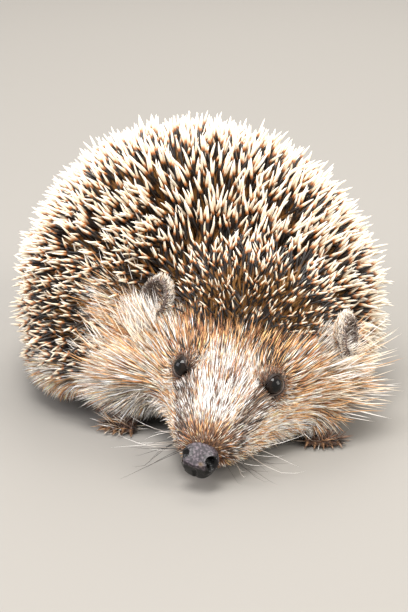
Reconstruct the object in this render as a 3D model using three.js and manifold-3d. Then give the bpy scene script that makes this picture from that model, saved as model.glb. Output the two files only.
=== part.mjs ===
// A West European hedgehog (Erinaceus europaeus), life size, standing low with its head turned and its
// nose near the floor. Millimetres, +Z up. The head points to -Y and the animal's left side is +X. The
// origin is on the floor, under the middle of the animal's box.
//
// The solids are the animal's outer form, out to the tips of its spines and fur. Nothing moves.

import * as THREE from "three";
import { mergeVertices } from "three/addons/utils/BufferGeometryUtils.js";
import Module from "manifold-3d";

const wasm = await Module();
wasm.setup();

// ---------------------------------------------------------------- driving dimensions

const GAP = 0.3; // between solids that meet
const SIDES = { right: -1, left: 1 };
const FAR = 500; // larger than the animal, for the boxes that cut it

// The middle line of the trunk, seen from above: back from the nape and round to the rump.
const TRUNK_LINE = [
  [3, 46],
  [1, 75],
  [-3, 104],
  [-7, 138],
  [-11, 170],
  [-14, 198],
];

// Where the head sits: the point midway between the eyes, and how far the head is turned from facing -Y.
const HEAD = { x: 7.8, y: 24, z: 26.8, turn: -14.3, nod: 9.7, tilt: 7.3 };

const EYE = { radius: 3.4, side: 14.6, back: -0.6, up: 0.2 };
const SOCKET = { radius: 4.8, side: 16.4, back: -3, up: 1.4 };

const NOSE = { halfWidth: 5.6, halfLength: 4.6, halfHeight: 4.6, back: -33, up: -11.9 };
const NOSTRIL = { radius: 1.3, halfHeight: 1.69, side: 4.8, back: -35.2, up: -13 };

const EAR = { halfWidth: 5.9, halfHeight: 7.7, depth: 3.6 };
const EAR_CUP = { wall: 1.2, forward: 1.8 }; // its wall, and how far forward its hollow is set
const EAR_LEAN = -18; // how far both ears lean back

// How each ear is held: its middle from the eyes, how far it is turned out from facing forwards, and how
// far its top leans out. The right one listens ahead and the left one to the side.
const EAR_POSE = {
  right: { side: 31.2, back: 24, up: 9, turn: 30, splay: -8 },
  left: { side: 33.4, back: 24.6, up: 8.4, turn: 80, splay: 24 },
};
const EAR_ROOM = { margin: 1, depth: 6.5, forward: 3 }; // the space that the coat leaves before an ear

// The ruff of fur round the neck, and the spiny crown between the ears, which sits in the head's own frame.
const NECK = { x: 1, y: 51, z: 20.5, halfWidth: 57, halfLength: 22, halfHeight: 16.5, turn: -9 };
const CROWN = { halfWidth: 30, halfLength: 28, halfHeight: 24, back: 36, up: 6 };

const FOOT_FLAT = 0.8; // how far the soles are pressed flat on the floor
const FOREFOOT = { halfWidth: 5.4, halfLength: 6.5, halfHeight: 3.3, claw: 4.2 };
const HINDFOOT = { halfWidth: 5.4, halfLength: 12, halfHeight: 3.4, claw: 3.4 };
const FOOT_ROOM = { width: 3, length: 7, height: 5.6 }; // the space that the coat leaves over a foot

// The toes fan out by this many degrees from first to last. The spread is a share of the foot's half width,
// and the other shares are of its half length: how far back a toe starts, and how much the outer ones lose.
const TOE = {
  count: 5,
  fan: 46,
  length: 3.6,
  radius: 1.7,
  taper: 0.85,
  spread: 1.15,
  start: 0.62,
  loss: 0.35,
};
const CLAW = { rootRadius: 0.8, tipRadius: 0.35, tipLevel: 0.9, rootShare: 0.5, rootLevelShare: 0.9 };

// Where a leg meets its foot, as shares of the foot's half length and half height, and its girth there.
const ANKLE = { back: 0.35, up: 1.3, girth: 0.78 };

// Feet on the floor, and the turn of each from facing -Y.
const STANCE = {
  foreleg_right: { foot: FOREFOOT, x: -26, y: 48, turn: -22, hip: [-25, 56, 22], girth: 8 },
  foreleg_left: { foot: FOREFOOT, x: 38.5, y: 36, turn: 2, hip: [37, 46, 22], girth: 8 },
  hindleg_right: { foot: HINDFOOT, x: -39, y: 138, turn: -14, hip: [-32, 150, 32], girth: 11 },
  hindleg_left: { foot: HINDFOOT, x: 24, y: 142, turn: 14, hip: [15, 152, 32], girth: 11 },
};

const TAIL = { root: [-12, 180, 17], tip: [-14, 199, 9], rootRadius: 4, tipRadius: 1.6 };

// How far back along the trunk line it is parted, and the level where the spiny back meets the furry
// underside.
const PARTINGS = { shoulders: 26, back: 72, rump: 112 };
const SKIRT_LEVEL = 22;
const MUZZLE_PARTING = -11; // from the eyes, in the head's own frame

// Sections of the trunk, by distance back from the nape: half its width, and the heights of its top, of its
// widest level and of its underside.
const TRUNK_SECTIONS = [
  { along: 0, halfWidth: 0, top: 34, waist: 34, bottom: 34 },
  { along: 7, halfWidth: 46, top: 52, waist: 32, bottom: 6 },
  { along: 17, halfWidth: 57, top: 66, waist: 31, bottom: 3.5 },
  { along: 34, halfWidth: 63.5, top: 82, waist: 31, bottom: 2.5 },
  { along: 58, halfWidth: 63, top: 90, waist: 33, bottom: 2.5 },
  { along: 94, halfWidth: 56, top: 84, waist: 34, bottom: 3 },
  { along: 130, halfWidth: 41, top: 66, waist: 34, bottom: 5 },
  { along: 156, halfWidth: 0, top: 35, waist: 35, bottom: 35 },
];
const BELLY_LIFT = 5; // the underside of the trunk is hollow by this much, between its hanging edges
const LIFTED_WIDTH = 0.85; // of its width

// Sections of the head in its own frame, from the tip of the muzzle back under the crown, with heights from
// the eyes.
const HEAD_FRONT = -34;
const HEAD_SECTIONS = [
  { along: 0, halfWidth: 0, top: -12.5, waist: -12.5, bottom: -12.5 },
  { along: 6, halfWidth: 8, top: -6.4, waist: -13, bottom: -17.6 },
  { along: 18, halfWidth: 14, top: -1.4, waist: -13.5, bottom: -20 },
  { along: 33, halfWidth: 20.5, top: 7, waist: -13, bottom: -23 },
  { along: 43, halfWidth: 31, top: 13, waist: -11, bottom: -22.5 },
  { along: 55, halfWidth: 37, top: 16, waist: -9, bottom: -21 },
  { along: 74, halfWidth: 0, top: -2, waist: -2, bottom: -2 },
];

const JAW_FRONT = -25;
const JAW_SECTIONS = [
  { along: 0, halfWidth: 0, top: -17, waist: -17, bottom: -17 },
  { along: 5, halfWidth: 5.4, top: -15, waist: -17.6, bottom: -20.2 },
  { along: 15, halfWidth: 9.4, top: -13, waist: -18.4, bottom: -22.4 },
  { along: 30, halfWidth: 0, top: -19, waist: -19, bottom: -19 },
];

// How square each swept body is below its widest level. An ellipse is 2.
const SQUARENESS = { trunk: 8, skull: 3.2, jaw: 2.5 };

// How many flat faces go round each rounded form, and along it from end to end.
const FACETS = {
  trunk: { sides: 28, rings: 20 },
  skull: { sides: 20, rings: 14 },
  jaw: { sides: 12, rings: 8 },
  neck: { sides: 22, rings: 10 },
  crown: { sides: 18, rings: 12 },
  nose: { sides: 12, rings: 9 },
  nostril: { sides: 6, rings: 5 },
  eye: { sides: 10, rings: 7 },
  ear: { sides: 12, rings: 8 },
  room: { sides: 12, rings: 8 },
  sole: { sides: 10, rings: 5 },
};

// The same for the tapering limbs, whose round ends have this many steps.
const LIMB_FACETS = {
  leg: { sides: 10, steps: 2 },
  tail: { sides: 12, steps: 2 },
  toe: { sides: 6, steps: 1 },
  claw: { sides: 4, steps: 1 },
};

const MERGE = 1e-4; // corners closer than this are one

// ---------------------------------------------------------------- solids and geometries

const degrees = THREE.MathUtils.degToRad;
const UPWARDS = new THREE.Vector3(0, 0, 1);

// A closed geometry, placed by a matrix, as a solid.
function solidFrom(geometry, matrix = new THREE.Matrix4()) {
  const bare = geometry.clone().applyMatrix4(matrix);
  bare.deleteAttribute("normal");
  bare.deleteAttribute("uv");
  const merged = mergeVertices(bare, MERGE);
  return new wasm.Manifold(
    new wasm.Mesh({
      numProp: 3,
      vertProperties: merged.attributes.position.array,
      triVerts: new Uint32Array(merged.index.array),
    }),
  );
}

// A solid's surface as a geometry in the frame of the group that will hold it.
function geometryFrom(solid, group) {
  const { vertProperties, triVerts } = solid.getMesh();
  const geometry = new THREE.BufferGeometry();
  geometry.setAttribute("position", new THREE.BufferAttribute(vertProperties, 3));
  geometry.setIndex(new THREE.BufferAttribute(triVerts, 1));
  geometry.applyMatrix4(group.matrixWorld.clone().invert());
  geometry.computeVertexNormals();
  return geometry;
}

// The part of a solid that lies on one side of a plane, clear of it by half the gap.
function sideOf(solid, point, normal) {
  const facing = new THREE.Quaternion().setFromUnitVectors(UPWARDS, normal);
  const centre = point.clone().addScaledVector(normal, FAR / 2 + GAP / 2);
  const place = new THREE.Matrix4().compose(centre, facing, new THREE.Vector3(1, 1, 1));
  return solid.intersect(solidFrom(new THREE.BoxGeometry(FAR, FAR, FAR), place));
}

// Both parts, the one the normal points to first.
function parted(solid, point, normal) {
  return [sideOf(solid, point, normal), sideOf(solid, point, normal.clone().negate())];
}

// A smooth value through the named sizes of the sections, by position.
function smoothThrough(positions, values, position) {
  const last = positions.length - 1;
  let i = 0;
  while (i < last - 1 && position > positions[i + 1]) i += 1;
  const slope = (k) => {
    const a = Math.max(k - 1, 0);
    const b = Math.min(k + 1, last);
    return (values[b] - values[a]) / (positions[b] - positions[a]);
  };
  const step = positions[i + 1] - positions[i];
  const t = (position - positions[i]) / step;
  const bend = t * t * (3 - 2 * t);
  return (
    values[i] * (1 - bend) +
    values[i + 1] * bend +
    step * t * (1 - t) * ((1 - t) * slope(i) - t * slope(i + 1))
  );
}

// A solid less several others.
const less = (solid, ...others) => others.reduce((rest, other) => rest.subtract(other), solid);

// A power of the size of a number that keeps its sign, for rounded squares.
const signedPower = (value, power) => Math.sign(value) * Math.abs(value) ** power;

// A closed body swept back along a level curve. Rings crowd towards both ends, so that the ends come out
// round. Above its widest level a section is an ellipse, and below it is squarer. grow makes the body that
// much larger all round.
function sweptBody(curve, sections, { sides, rings }, { squareness, lift = 0, grow = 0 }) {
  const length = sections.at(-1).along;
  const turnAt = (along) => Math.acos(1 - (2 * along) / length);
  const turns = sections.map(({ along }) => turnAt(along));
  const sizeAt = (name, turn) =>
    smoothThrough(
      turns,
      sections.map((section) => section[name]),
      turn,
    );
  const points = [];
  const faces = [];
  const centreAt = (share, turn) =>
    curve.getPointAt(share).addScaledVector(curve.getTangentAt(share), -grow * Math.cos(turn));
  const pole = (share, turn) => {
    const { x, y } = centreAt(share, turn);
    points.push(x, y, sizeAt("waist", turn));
  };
  pole(0, 0);
  for (let ring = 1; ring < rings; ring += 1) {
    const turn = (Math.PI * ring) / rings;
    const done = (1 - Math.cos(turn)) / 2;
    const centre = centreAt(done, turn);
    const tangent = curve.getTangentAt(done);
    const halfWidth = sizeAt("halfWidth", turn) + grow * Math.sin(turn);
    const waist = sizeAt("waist", turn);
    const rise = sizeAt("top", turn) - waist + grow * Math.sin(turn);
    const drop = waist - sizeAt("bottom", turn) + grow * Math.sin(turn);
    for (let side = 0; side < sides; side += 1) {
      const angle = (2 * Math.PI * side) / sides;
      const under = Math.sin(angle) < 0;
      const power = under ? 2 / squareness : 1;
      const share = signedPower(Math.cos(angle), power);
      const across = halfWidth * share;
      const hollow = under ? lift * Math.sin(turn) * Math.max(0, 1 - (share / LIFTED_WIDTH) ** 2) : 0;
      const up = signedPower(Math.sin(angle), power) * (under ? drop : rise) + hollow;
      points.push(centre.x + tangent.y * across, centre.y - tangent.x * across, waist + up);
    }
  }
  pole(1, Math.PI);
  const last = points.length / 3 - 1;
  const vertex = (ring, side) => 1 + (ring - 1) * sides + (side % sides);
  for (let side = 0; side < sides; side += 1) {
    faces.push(0, vertex(1, side), vertex(1, side + 1));
    faces.push(last, vertex(rings - 1, side + 1), vertex(rings - 1, side));
    for (let ring = 1; ring < rings - 1; ring += 1) {
      const [a, b] = [vertex(ring, side), vertex(ring, side + 1)];
      const [c, d] = [vertex(ring + 1, side), vertex(ring + 1, side + 1)];
      faces.push(a, c, b, b, c, d);
    }
  }
  const geometry = new THREE.BufferGeometry();
  geometry.setAttribute("position", new THREE.Float32BufferAttribute(points, 3));
  geometry.setIndex(faces);
  return geometry;
}

// An ellipsoid, placed by a matrix.
function ellipsoid(centre, radii, matrix, { sides, rings }) {
  const place = new THREE.Matrix4().makeTranslation(...centre).scale(new THREE.Vector3(...radii));
  return solidFrom(new THREE.SphereGeometry(1, sides, rings), matrix.clone().multiply(place));
}

// A tapering round limb between two points, with a round end at each.
function limb(from, to, fromRadius, toRadius, { sides, steps }, matrix = new THREE.Matrix4()) {
  const start = new THREE.Vector3(...from);
  const end = new THREE.Vector3(...to);
  const length = start.distanceTo(end);
  const profile = [];
  for (let i = 0; i <= steps; i += 1) {
    const angle = (Math.PI / 2) * (1 - i / steps);
    profile.push(new THREE.Vector2(fromRadius * Math.cos(angle), -fromRadius * Math.sin(angle)));
  }
  for (let i = 0; i <= steps; i += 1) {
    const angle = (Math.PI / 2) * (i / steps);
    profile.push(new THREE.Vector2(toRadius * Math.cos(angle), length + toRadius * Math.sin(angle)));
  }
  profile[0].x = 0;
  profile.at(-1).x = 0;
  const facing = new THREE.Quaternion().setFromUnitVectors(
    new THREE.Vector3(0, 1, 0),
    end.clone().sub(start).normalize(),
  );
  const place = new THREE.Matrix4().compose(start, facing, new THREE.Vector3(1, 1, 1));
  return solidFrom(new THREE.LatheGeometry(profile, sides), matrix.clone().multiply(place));
}

// ---------------------------------------------------------------- finishes

const finish = (color, roughness) => new THREE.MeshStandardMaterial({ color, roughness, metalness: 0 });

const FINISHES = {
  spines: finish("#7c6650", 0.6),
  faceFur: finish("#c9ab88", 0.85),
  bodyFur: finish("#a8906f", 0.9),
  skin: finish("#6d554b", 0.7),
  earSkin: finish("#9a8f83", 0.75),
  noseSkin: finish("#3a3337", 0.45),
  eye: finish("#0b0a0b", 0.08),
};

// ---------------------------------------------------------------- groups

const hedgehog = new THREE.Group();
const body = new THREE.Group();
hedgehog.add(body);

const head = new THREE.Group();
head.position.set(HEAD.x, HEAD.y, HEAD.z);
head.rotation.set(degrees(HEAD.nod), degrees(HEAD.tilt), degrees(HEAD.turn), "ZXY");
body.add(head);
hedgehog.updateMatrixWorld(true);

function addPart(name, solid, material, group = body) {
  const mesh = new THREE.Mesh(geometryFrom(solid, group), material);
  mesh.name = name;
  group.add(mesh);
}

// ---------------------------------------------------------------- the trunk and the head, whole

const trunkLine = new THREE.CatmullRomCurve3(TRUNK_LINE.map(([x, y]) => new THREE.Vector3(x, y, 0)));
const headLine = (front, length) =>
  new THREE.LineCurve3(new THREE.Vector3(0, front, 0), new THREE.Vector3(0, front + length, 0));

function trunk(grow = 0) {
  const shape = { squareness: SQUARENESS.trunk, lift: BELLY_LIFT, grow };
  return solidFrom(sweptBody(trunkLine, TRUNK_SECTIONS, FACETS.trunk, shape));
}

function skull(grow = 0) {
  const line = headLine(HEAD_FRONT, HEAD_SECTIONS.at(-1).along);
  const shape = { squareness: SQUARENESS.skull, grow };
  return solidFrom(sweptBody(line, HEAD_SECTIONS, FACETS.skull, shape), head.matrixWorld);
}

function lowerJaw() {
  const line = headLine(JAW_FRONT, JAW_SECTIONS.at(-1).along);
  const shape = { squareness: SQUARENESS.jaw };
  return solidFrom(sweptBody(line, JAW_SECTIONS, FACETS.jaw, shape), head.matrixWorld);
}

function crown(grow = 0) {
  const { halfWidth, halfLength, halfHeight, back, up } = CROWN;
  const radii = [halfWidth + grow, halfLength + grow, halfHeight + grow];
  return ellipsoid([0, back, up], radii, head.matrixWorld, FACETS.crown);
}

function neck(grow = 0) {
  const { x, y, z, halfWidth, halfLength, halfHeight, turn } = NECK;
  const place = new THREE.Matrix4().makeRotationZ(degrees(turn)).setPosition(x, y, z);
  const radii = [halfWidth + grow, halfLength + grow, halfHeight + grow];
  return ellipsoid([0, 0, 0], radii, place, FACETS.neck);
}

// ---------------------------------------------------------------- the head's parts

function noseForm(grow = 0) {
  const { halfWidth, halfLength, halfHeight, back, up } = NOSE;
  const radii = [halfWidth + grow, halfLength + grow, halfHeight + grow];
  return ellipsoid([0, back, up], radii, head.matrixWorld, FACETS.nose);
}

// The nose pad, with a nostril opening to each side.
function nosePad() {
  const { radius, halfHeight, side, back, up } = NOSTRIL;
  const radii = [radius, radius, halfHeight];
  const nostrils = Object.values(SIDES).map((sign) =>
    ellipsoid([sign * side, back, up], radii, head.matrixWorld, FACETS.nostril),
  );
  return less(noseForm(), ...nostrils);
}

function eye(side, radius = EYE.radius) {
  const place = [side * EYE.side, EYE.back, EYE.up];
  return ellipsoid(place, [radius, radius, radius], head.matrixWorld, FACETS.eye);
}

// The hollow in the fur that the eye looks out of.
function socket(side) {
  const { radius, side: across, back, up } = SOCKET;
  return ellipsoid([side * across, back, up], [radius, radius, radius], head.matrixWorld, FACETS.eye);
}

// The frame of an ear, whose cup opens towards its own -Y.
function earMatrix(name) {
  const sign = SIDES[name];
  const { side, back, up, turn, splay } = EAR_POSE[name];
  const angles = [EAR_LEAN, sign * splay, sign * turn].map(degrees);
  const turned = new THREE.Matrix4().makeRotationFromEuler(new THREE.Euler(...angles, "ZXY"));
  return turned.setPosition(sign * side, back, up).premultiply(head.matrixWorld);
}

function earOutside(name, grow = 0) {
  const { halfWidth, halfHeight, depth } = EAR;
  const radii = [halfWidth + grow, depth + grow, halfHeight + grow];
  return ellipsoid([0, 0, 0], radii, earMatrix(name), FACETS.ear);
}

// An ear is a rounded cup, open forwards and outwards.
function ear(name) {
  const { halfWidth, halfHeight, depth } = EAR;
  const { wall, forward } = EAR_CUP;
  const inner = [halfWidth - wall, depth, halfHeight - wall];
  return earOutside(name).subtract(ellipsoid([0, -forward, 0], inner, earMatrix(name), FACETS.ear));
}

// The space that the coat leaves for an ear and before it.
function earRoom(name) {
  const { margin, depth, forward } = EAR_ROOM;
  const radii = [EAR.halfWidth + margin, depth, EAR.halfHeight + margin];
  return earOutside(name, GAP).add(ellipsoid([0, -forward, 0], radii, earMatrix(name), FACETS.room));
}

// ---------------------------------------------------------------- legs, feet and tail

// The frame of a foot on the floor, with its toes towards its own -Y.
function footMatrix({ x, y, turn }) {
  return new THREE.Matrix4().makeRotationZ(degrees(turn)).setPosition(x, y, 0);
}

// The middle of a toe's section, by distance ahead of where it starts. A toe's share runs from -0.5 to 0.5
// across the foot.
function alongToe(size, share, distance, height) {
  const angle = degrees(share * TOE.fan);
  const reach = size.halfLength * (1 - TOE.loss * Math.abs(share));
  const across = size.halfWidth * TOE.spread * share + Math.sin(angle) * distance;
  return [across, -reach * TOE.start - Math.cos(angle) * distance, height];
}

function toe(size, share, place) {
  const { length, radius, taper } = TOE;
  const root = alongToe(size, share, 0, radius);
  const tip = alongToe(size, share, length, radius - FOOT_FLAT / 2);
  return limb(root, tip, radius, radius * taper, LIMB_FACETS.toe, place);
}

function claw(size, share, place) {
  const { rootRadius, tipRadius, tipLevel, rootShare, rootLevelShare } = CLAW;
  const root = alongToe(size, share, TOE.length + TOE.radius * rootShare, TOE.radius * rootLevelShare);
  const tip = alongToe(size, share, TOE.length + size.claw, tipLevel);
  return limb(root, tip, rootRadius, tipRadius, LIMB_FACETS.claw, place);
}

// A foot: a flat sole, a fan of toes and a claw on each.
function foot({ foot: size, ...stance }) {
  const place = footMatrix(stance);
  const { halfWidth, halfLength, halfHeight } = size;
  const level = halfHeight - FOOT_FLAT;
  let made = ellipsoid([0, 0, level], [halfWidth, halfLength, halfHeight], place, FACETS.sole);
  for (let number = 0; number < TOE.count; number += 1) {
    const share = number / (TOE.count - 1) - 0.5;
    made = made.add(toe(size, share, place)).add(claw(size, share, place));
  }
  return sideOf(made, new THREE.Vector3(0, 0, -GAP / 2), UPWARDS);
}

// The space that the coat leaves over a foot.
function footRoom({ foot: size, ...stance }) {
  const { width, length, height } = FOOT_ROOM;
  const radii = [size.halfWidth + width, size.halfLength + length, height + GAP];
  return ellipsoid([0, -TOE.length / 2, size.halfHeight / 2], radii, footMatrix(stance), FACETS.room);
}

function leg({ foot: size, hip, girth, ...stance }) {
  const ankle = new THREE.Vector3(0, size.halfLength * ANKLE.back, size.halfHeight * ANKLE.up);
  ankle.applyMatrix4(footMatrix(stance));
  return limb(hip, ankle.toArray(), girth, size.halfWidth * ANKLE.girth, LIMB_FACETS.leg);
}

// ---------------------------------------------------------------- assembly

const trunkClear = trunk(GAP);
const skullClear = skull(GAP);
const crownClear = crown(GAP);
const neckClear = neck(GAP);
const rooms = [...Object.keys(SIDES).map(earRoom), ...Object.values(STANCE).map(footRoom)];

// The trunk, in four lengths, each parted into its spiny back and its furry underside.
const TRUNK_NAMES = [
  ["nape", "throat"],
  ["shoulders", "chest"],
  ["back", "belly"],
  ["rump", "groin"],
];
const trunkLength = TRUNK_SECTIONS.at(-1).along;
const skirt = new THREE.Vector3(0, 0, SKIRT_LEVEL);
let rest = less(trunk(), ...rooms);
[...Object.values(PARTINGS), null].forEach((along, i) => {
  let length = rest;
  if (along !== null) {
    const share = along / trunkLength;
    [rest, length] = parted(rest, trunkLine.getPointAt(share), trunkLine.getTangentAt(share));
  }
  const [upper, lower] = parted(length, skirt, UPWARDS);
  addPart(TRUNK_NAMES[i][0], upper, FINISHES.spines);
  addPart(TRUNK_NAMES[i][1], lower, FINISHES.bodyFur);
});

// The neck and the crown lie against the trunk. The head fills what is left of its own form before them.
addPart("neck", less(neck(), trunkClear, skullClear, crownClear, ...rooms), FINISHES.bodyFur);
addPart("crown", less(crown(), trunkClear, ...rooms), FINISHES.spines, head);
const hollows = Object.values(SIDES).flatMap((side) => [socket(side), eye(side, EYE.radius + GAP)]);
const face = less(skull(), trunkClear, crownClear, ...rooms, ...hollows);
const muzzlePoint = new THREE.Vector3(0, MUZZLE_PARTING, 0).applyMatrix4(head.matrixWorld);
const backwards = new THREE.Vector3(0, 1, 0).transformDirection(head.matrixWorld);
const [cheeks, muzzle] = parted(face, muzzlePoint, backwards);
addPart("head", cheeks, FINISHES.faceFur, head);
addPart("muzzle", less(muzzle, noseForm(GAP)), FINISHES.faceFur, head);
addPart("nose", nosePad(), FINISHES.noseSkin, head);
addPart("lower_jaw", less(lowerJaw(), skullClear), FINISHES.faceFur, head);

for (const [name, side] of Object.entries(SIDES)) {
  addPart("eye_" + name, eye(side), FINISHES.eye, head);
  addPart("ear_" + name, ear(name), FINISHES.earSkin, head);
}

for (const [name, stance] of Object.entries(STANCE)) {
  const sole = foot(stance);
  addPart(name.replace("leg", "foot"), sole, FINISHES.skin);
  addPart(name, less(leg(stance), trunkClear, neckClear, skullClear, sole), FINISHES.bodyFur);
}

const { root, tip, rootRadius, tipRadius } = TAIL;
const dock = limb(root, tip, rootRadius, tipRadius, LIMB_FACETS.tail);
addPart("tail", less(dock, trunkClear), FINISHES.skin);

// The origin goes under the middle of the box.
const box = new THREE.Box3().setFromObject(hedgehog, true);
const middle = box.getCenter(new THREE.Vector3());
body.position.set(-middle.x, -middle.y, 0);

export default hedgehog;
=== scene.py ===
# %% [markdown]
# # A European hedgehog, life size
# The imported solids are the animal's outer form, out to the tips of its coat. Here one skin is made a coat's depth
# inside them, and then the coat grows out of it again: spines on the back, fur on the face and underside.
# Everything is in metres, and a length given in millimetres is multiplied by MM.

import math

import bmesh
import bpy
import numpy as np
from mathutils import Matrix, Vector
from mathutils.bvhtree import BVHTree


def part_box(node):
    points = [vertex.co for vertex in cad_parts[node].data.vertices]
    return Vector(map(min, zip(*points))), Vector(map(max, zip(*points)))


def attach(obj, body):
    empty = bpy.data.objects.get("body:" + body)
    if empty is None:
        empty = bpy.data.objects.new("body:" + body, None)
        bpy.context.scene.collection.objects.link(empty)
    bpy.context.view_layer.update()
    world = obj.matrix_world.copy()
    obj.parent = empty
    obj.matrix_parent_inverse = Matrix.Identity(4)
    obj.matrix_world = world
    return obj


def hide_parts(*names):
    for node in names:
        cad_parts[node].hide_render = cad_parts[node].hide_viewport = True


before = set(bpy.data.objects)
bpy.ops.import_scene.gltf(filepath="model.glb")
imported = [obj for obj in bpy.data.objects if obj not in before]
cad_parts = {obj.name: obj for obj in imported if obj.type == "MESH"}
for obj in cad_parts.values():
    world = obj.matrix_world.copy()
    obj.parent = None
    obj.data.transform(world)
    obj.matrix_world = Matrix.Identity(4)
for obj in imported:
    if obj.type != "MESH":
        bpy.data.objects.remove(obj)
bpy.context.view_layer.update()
MM = 0.001

# %% [markdown]
# ## The head's own axes
# Much of the animal is easier to place from its head than from the floor: the eyes, the lids, the markings and the
# way that the fur lies. So the head gets its own axes, found from the eyes and the nose: x towards its left, y back
# and z up, with the origin midway between the eyes.

# %% The head's axes
NOSE_BELOW_EYES = math.radians(19.8)  # how far the line from the eyes to the nose dips in the head's own frame
SIDES = {"right": -1, "left": 1}


def middle_of(node):
    low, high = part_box(node)
    return (np.array(low) + np.array(high)) / 2


eye_middles = {side: middle_of("eye_" + side) for side in SIDES}
head_origin = (eye_middles["right"] + eye_middles["left"]) / 2
head_x = eye_middles["left"] - eye_middles["right"]
head_x /= np.linalg.norm(head_x)
to_nose = middle_of("nose") - head_origin
to_nose -= head_x * to_nose.dot(head_x)
to_nose /= np.linalg.norm(to_nose)
nose_up = np.cross(to_nose, head_x)
head_y = -(to_nose * math.cos(NOSE_BELOW_EYES) + nose_up * math.sin(NOSE_BELOW_EYES))
head_z = np.cross(head_x, head_y)
HEAD_AXES = np.stack([head_x, head_y, head_z])


def to_head(points):
    """Points in the frame, in metres, as places in the head's axes, in millimetres."""
    return (np.asarray(points) - head_origin) @ HEAD_AXES.T / MM


def from_head(places):
    """Places in the head's axes, in millimetres, as points in the frame, in metres."""
    return np.asarray(places, dtype=float) @ HEAD_AXES * MM + head_origin


print("the head looks along", np.round(-head_y, 3), "and the nose is at", np.round(to_head(middle_of("nose")), 1))

# %% [markdown]
# ## The camera
# A long lens looks slightly down at the animal's face from a little more than half a metre away, as someone lying on
# the ground with a portrait lens would see it.

# %% The camera
LENS = 108.8
SENSOR = 36.0
CAMERA_PLACE = (0.00088, -0.6283, 0.231)
CAMERA_DIP = math.radians(18)

camera_data = bpy.data.cameras.new("portrait_lens")
camera_data.lens = LENS
camera_data.sensor_width = SENSOR
camera = bpy.data.objects.new("camera", camera_data)
camera.location = CAMERA_PLACE
camera.rotation_euler = (math.pi / 2 - CAMERA_DIP, 0, 0)
bpy.context.scene.collection.objects.link(camera)
bpy.context.scene.camera = camera
print("camera", round(CAMERA_PLACE[2] / MM), "mm above the floor, with a", LENS, "mm lens")

# %% [markdown]
# ## Floor and light
# A pale floor, a wide soft light above and before the animal, as an open sky gives, and a weaker one on each side.
# The wide light also makes the white glint in the upper part of each eye.

# %% Colours and nodes


def linear(hex_colour):
    """An sRGB colour such as "#c98a4b" as the linear red, green, blue and alpha that Blender works in."""
    parts = [int(hex_colour[i : i + 2], 16) / 255 for i in (1, 3, 5)]
    return tuple(c / 12.92 if c <= 0.04045 else ((c + 0.055) / 1.055) ** 2.4 for c in parts) + (1.0,)


def add_node(material, kind, settings=None, inputs=None, links=None):
    """Adds a node: settings are its own properties, inputs its sockets' values, links the outputs joined to it."""
    node = material.node_tree.nodes.new(kind)
    for name, value in (settings or {}).items():
        setattr(node, name, value)
    for name, value in (inputs or {}).items():
        node.inputs[name].default_value = value
    for name, output in (links or {}).items():
        material.node_tree.links.new(output, node.inputs[name])
    return node


def new_material(name):
    """A material with no nodes yet."""
    material = bpy.data.materials.new(name)
    material.use_nodes = True
    material.node_tree.nodes.clear()
    return material


def set_ramp(node, stops):
    """Gives a colour ramp its stops: pairs of a place from 0 to 1 and a linear colour."""
    ramp = node.color_ramp
    while len(ramp.elements) < len(stops):
        ramp.elements.new(1.0)
    for element, (place, colour) in zip(ramp.elements, stops):
        element.position = place
        element.color = colour
    return node


print("linear mid grey:", tuple(round(c, 3) for c in linear("#808080")))

# %% Floor
FLOOR_SIZE = 6.0

floor_material = new_material("pale_matt_floor")
shader = add_node(
    floor_material, "ShaderNodeBsdfPrincipled", inputs={"Base Color": linear("#888580"), "Roughness": 0.85}
)
add_node(floor_material, "ShaderNodeOutputMaterial", links={"Surface": shader.outputs[0]})

bpy.ops.object.select_all(action="DESELECT")
bpy.ops.mesh.primitive_plane_add(size=FLOOR_SIZE)
floor = bpy.context.object
floor.name = "floor"
floor.data.materials.append(floor_material)
print("floor", FLOOR_SIZE, "m across")

# %% Lights
LIGHTS = {  # watts, width in metres, place, and the colour of the light
    "sky": (16.0, 0.6, (-0.14, -0.32, 1.1), "#fffdfa"),
    "from_its_right": (8.5, 0.8, (-0.95, -0.45, 0.6), "#f8f6fc"),
    "from_its_left": (10.5, 0.8, (0.95, -0.45, 0.6), "#fff9f1"),
    "from_behind": (12.0, 0.8, (0.1, 0.95, 0.9), "#fffaf4"),
}
SKY_COLOUR = "#f2f0ee"
SKY_STRENGTH = 0.9

for name, (watts, width, place, colour) in LIGHTS.items():
    light_data = bpy.data.lights.new(name, "AREA")
    light_data.energy = watts
    light_data.size = width
    light_data.color = linear(colour)[:3]
    light = bpy.data.objects.new(name, light_data)
    light.location = place
    light.rotation_euler = (Vector((0, -0.02, 0.04)) - Vector(place)).to_track_quat("-Z", "Y").to_euler()
    bpy.context.scene.collection.objects.link(light)

world = bpy.data.worlds.new("even_daylight")
world.use_nodes = True
world.node_tree.nodes["Background"].inputs["Color"].default_value = linear(SKY_COLOUR)
world.node_tree.nodes["Background"].inputs["Strength"].default_value = SKY_STRENGTH
bpy.context.scene.world = world
bpy.context.scene.view_settings.view_transform = "Standard"  # keeps the full contrast of pale tips on dark bands
print(len(LIGHTS), "lights and an even sky")

# %% [markdown]
# ## Where the feet stand
# The forefeet are short and the hind feet long. Each has its place on the floor, its turn, and the point inside the
# body that its leg rises to. These are the drawing's own values; the drawing's origin lies a little off this frame's.

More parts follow.
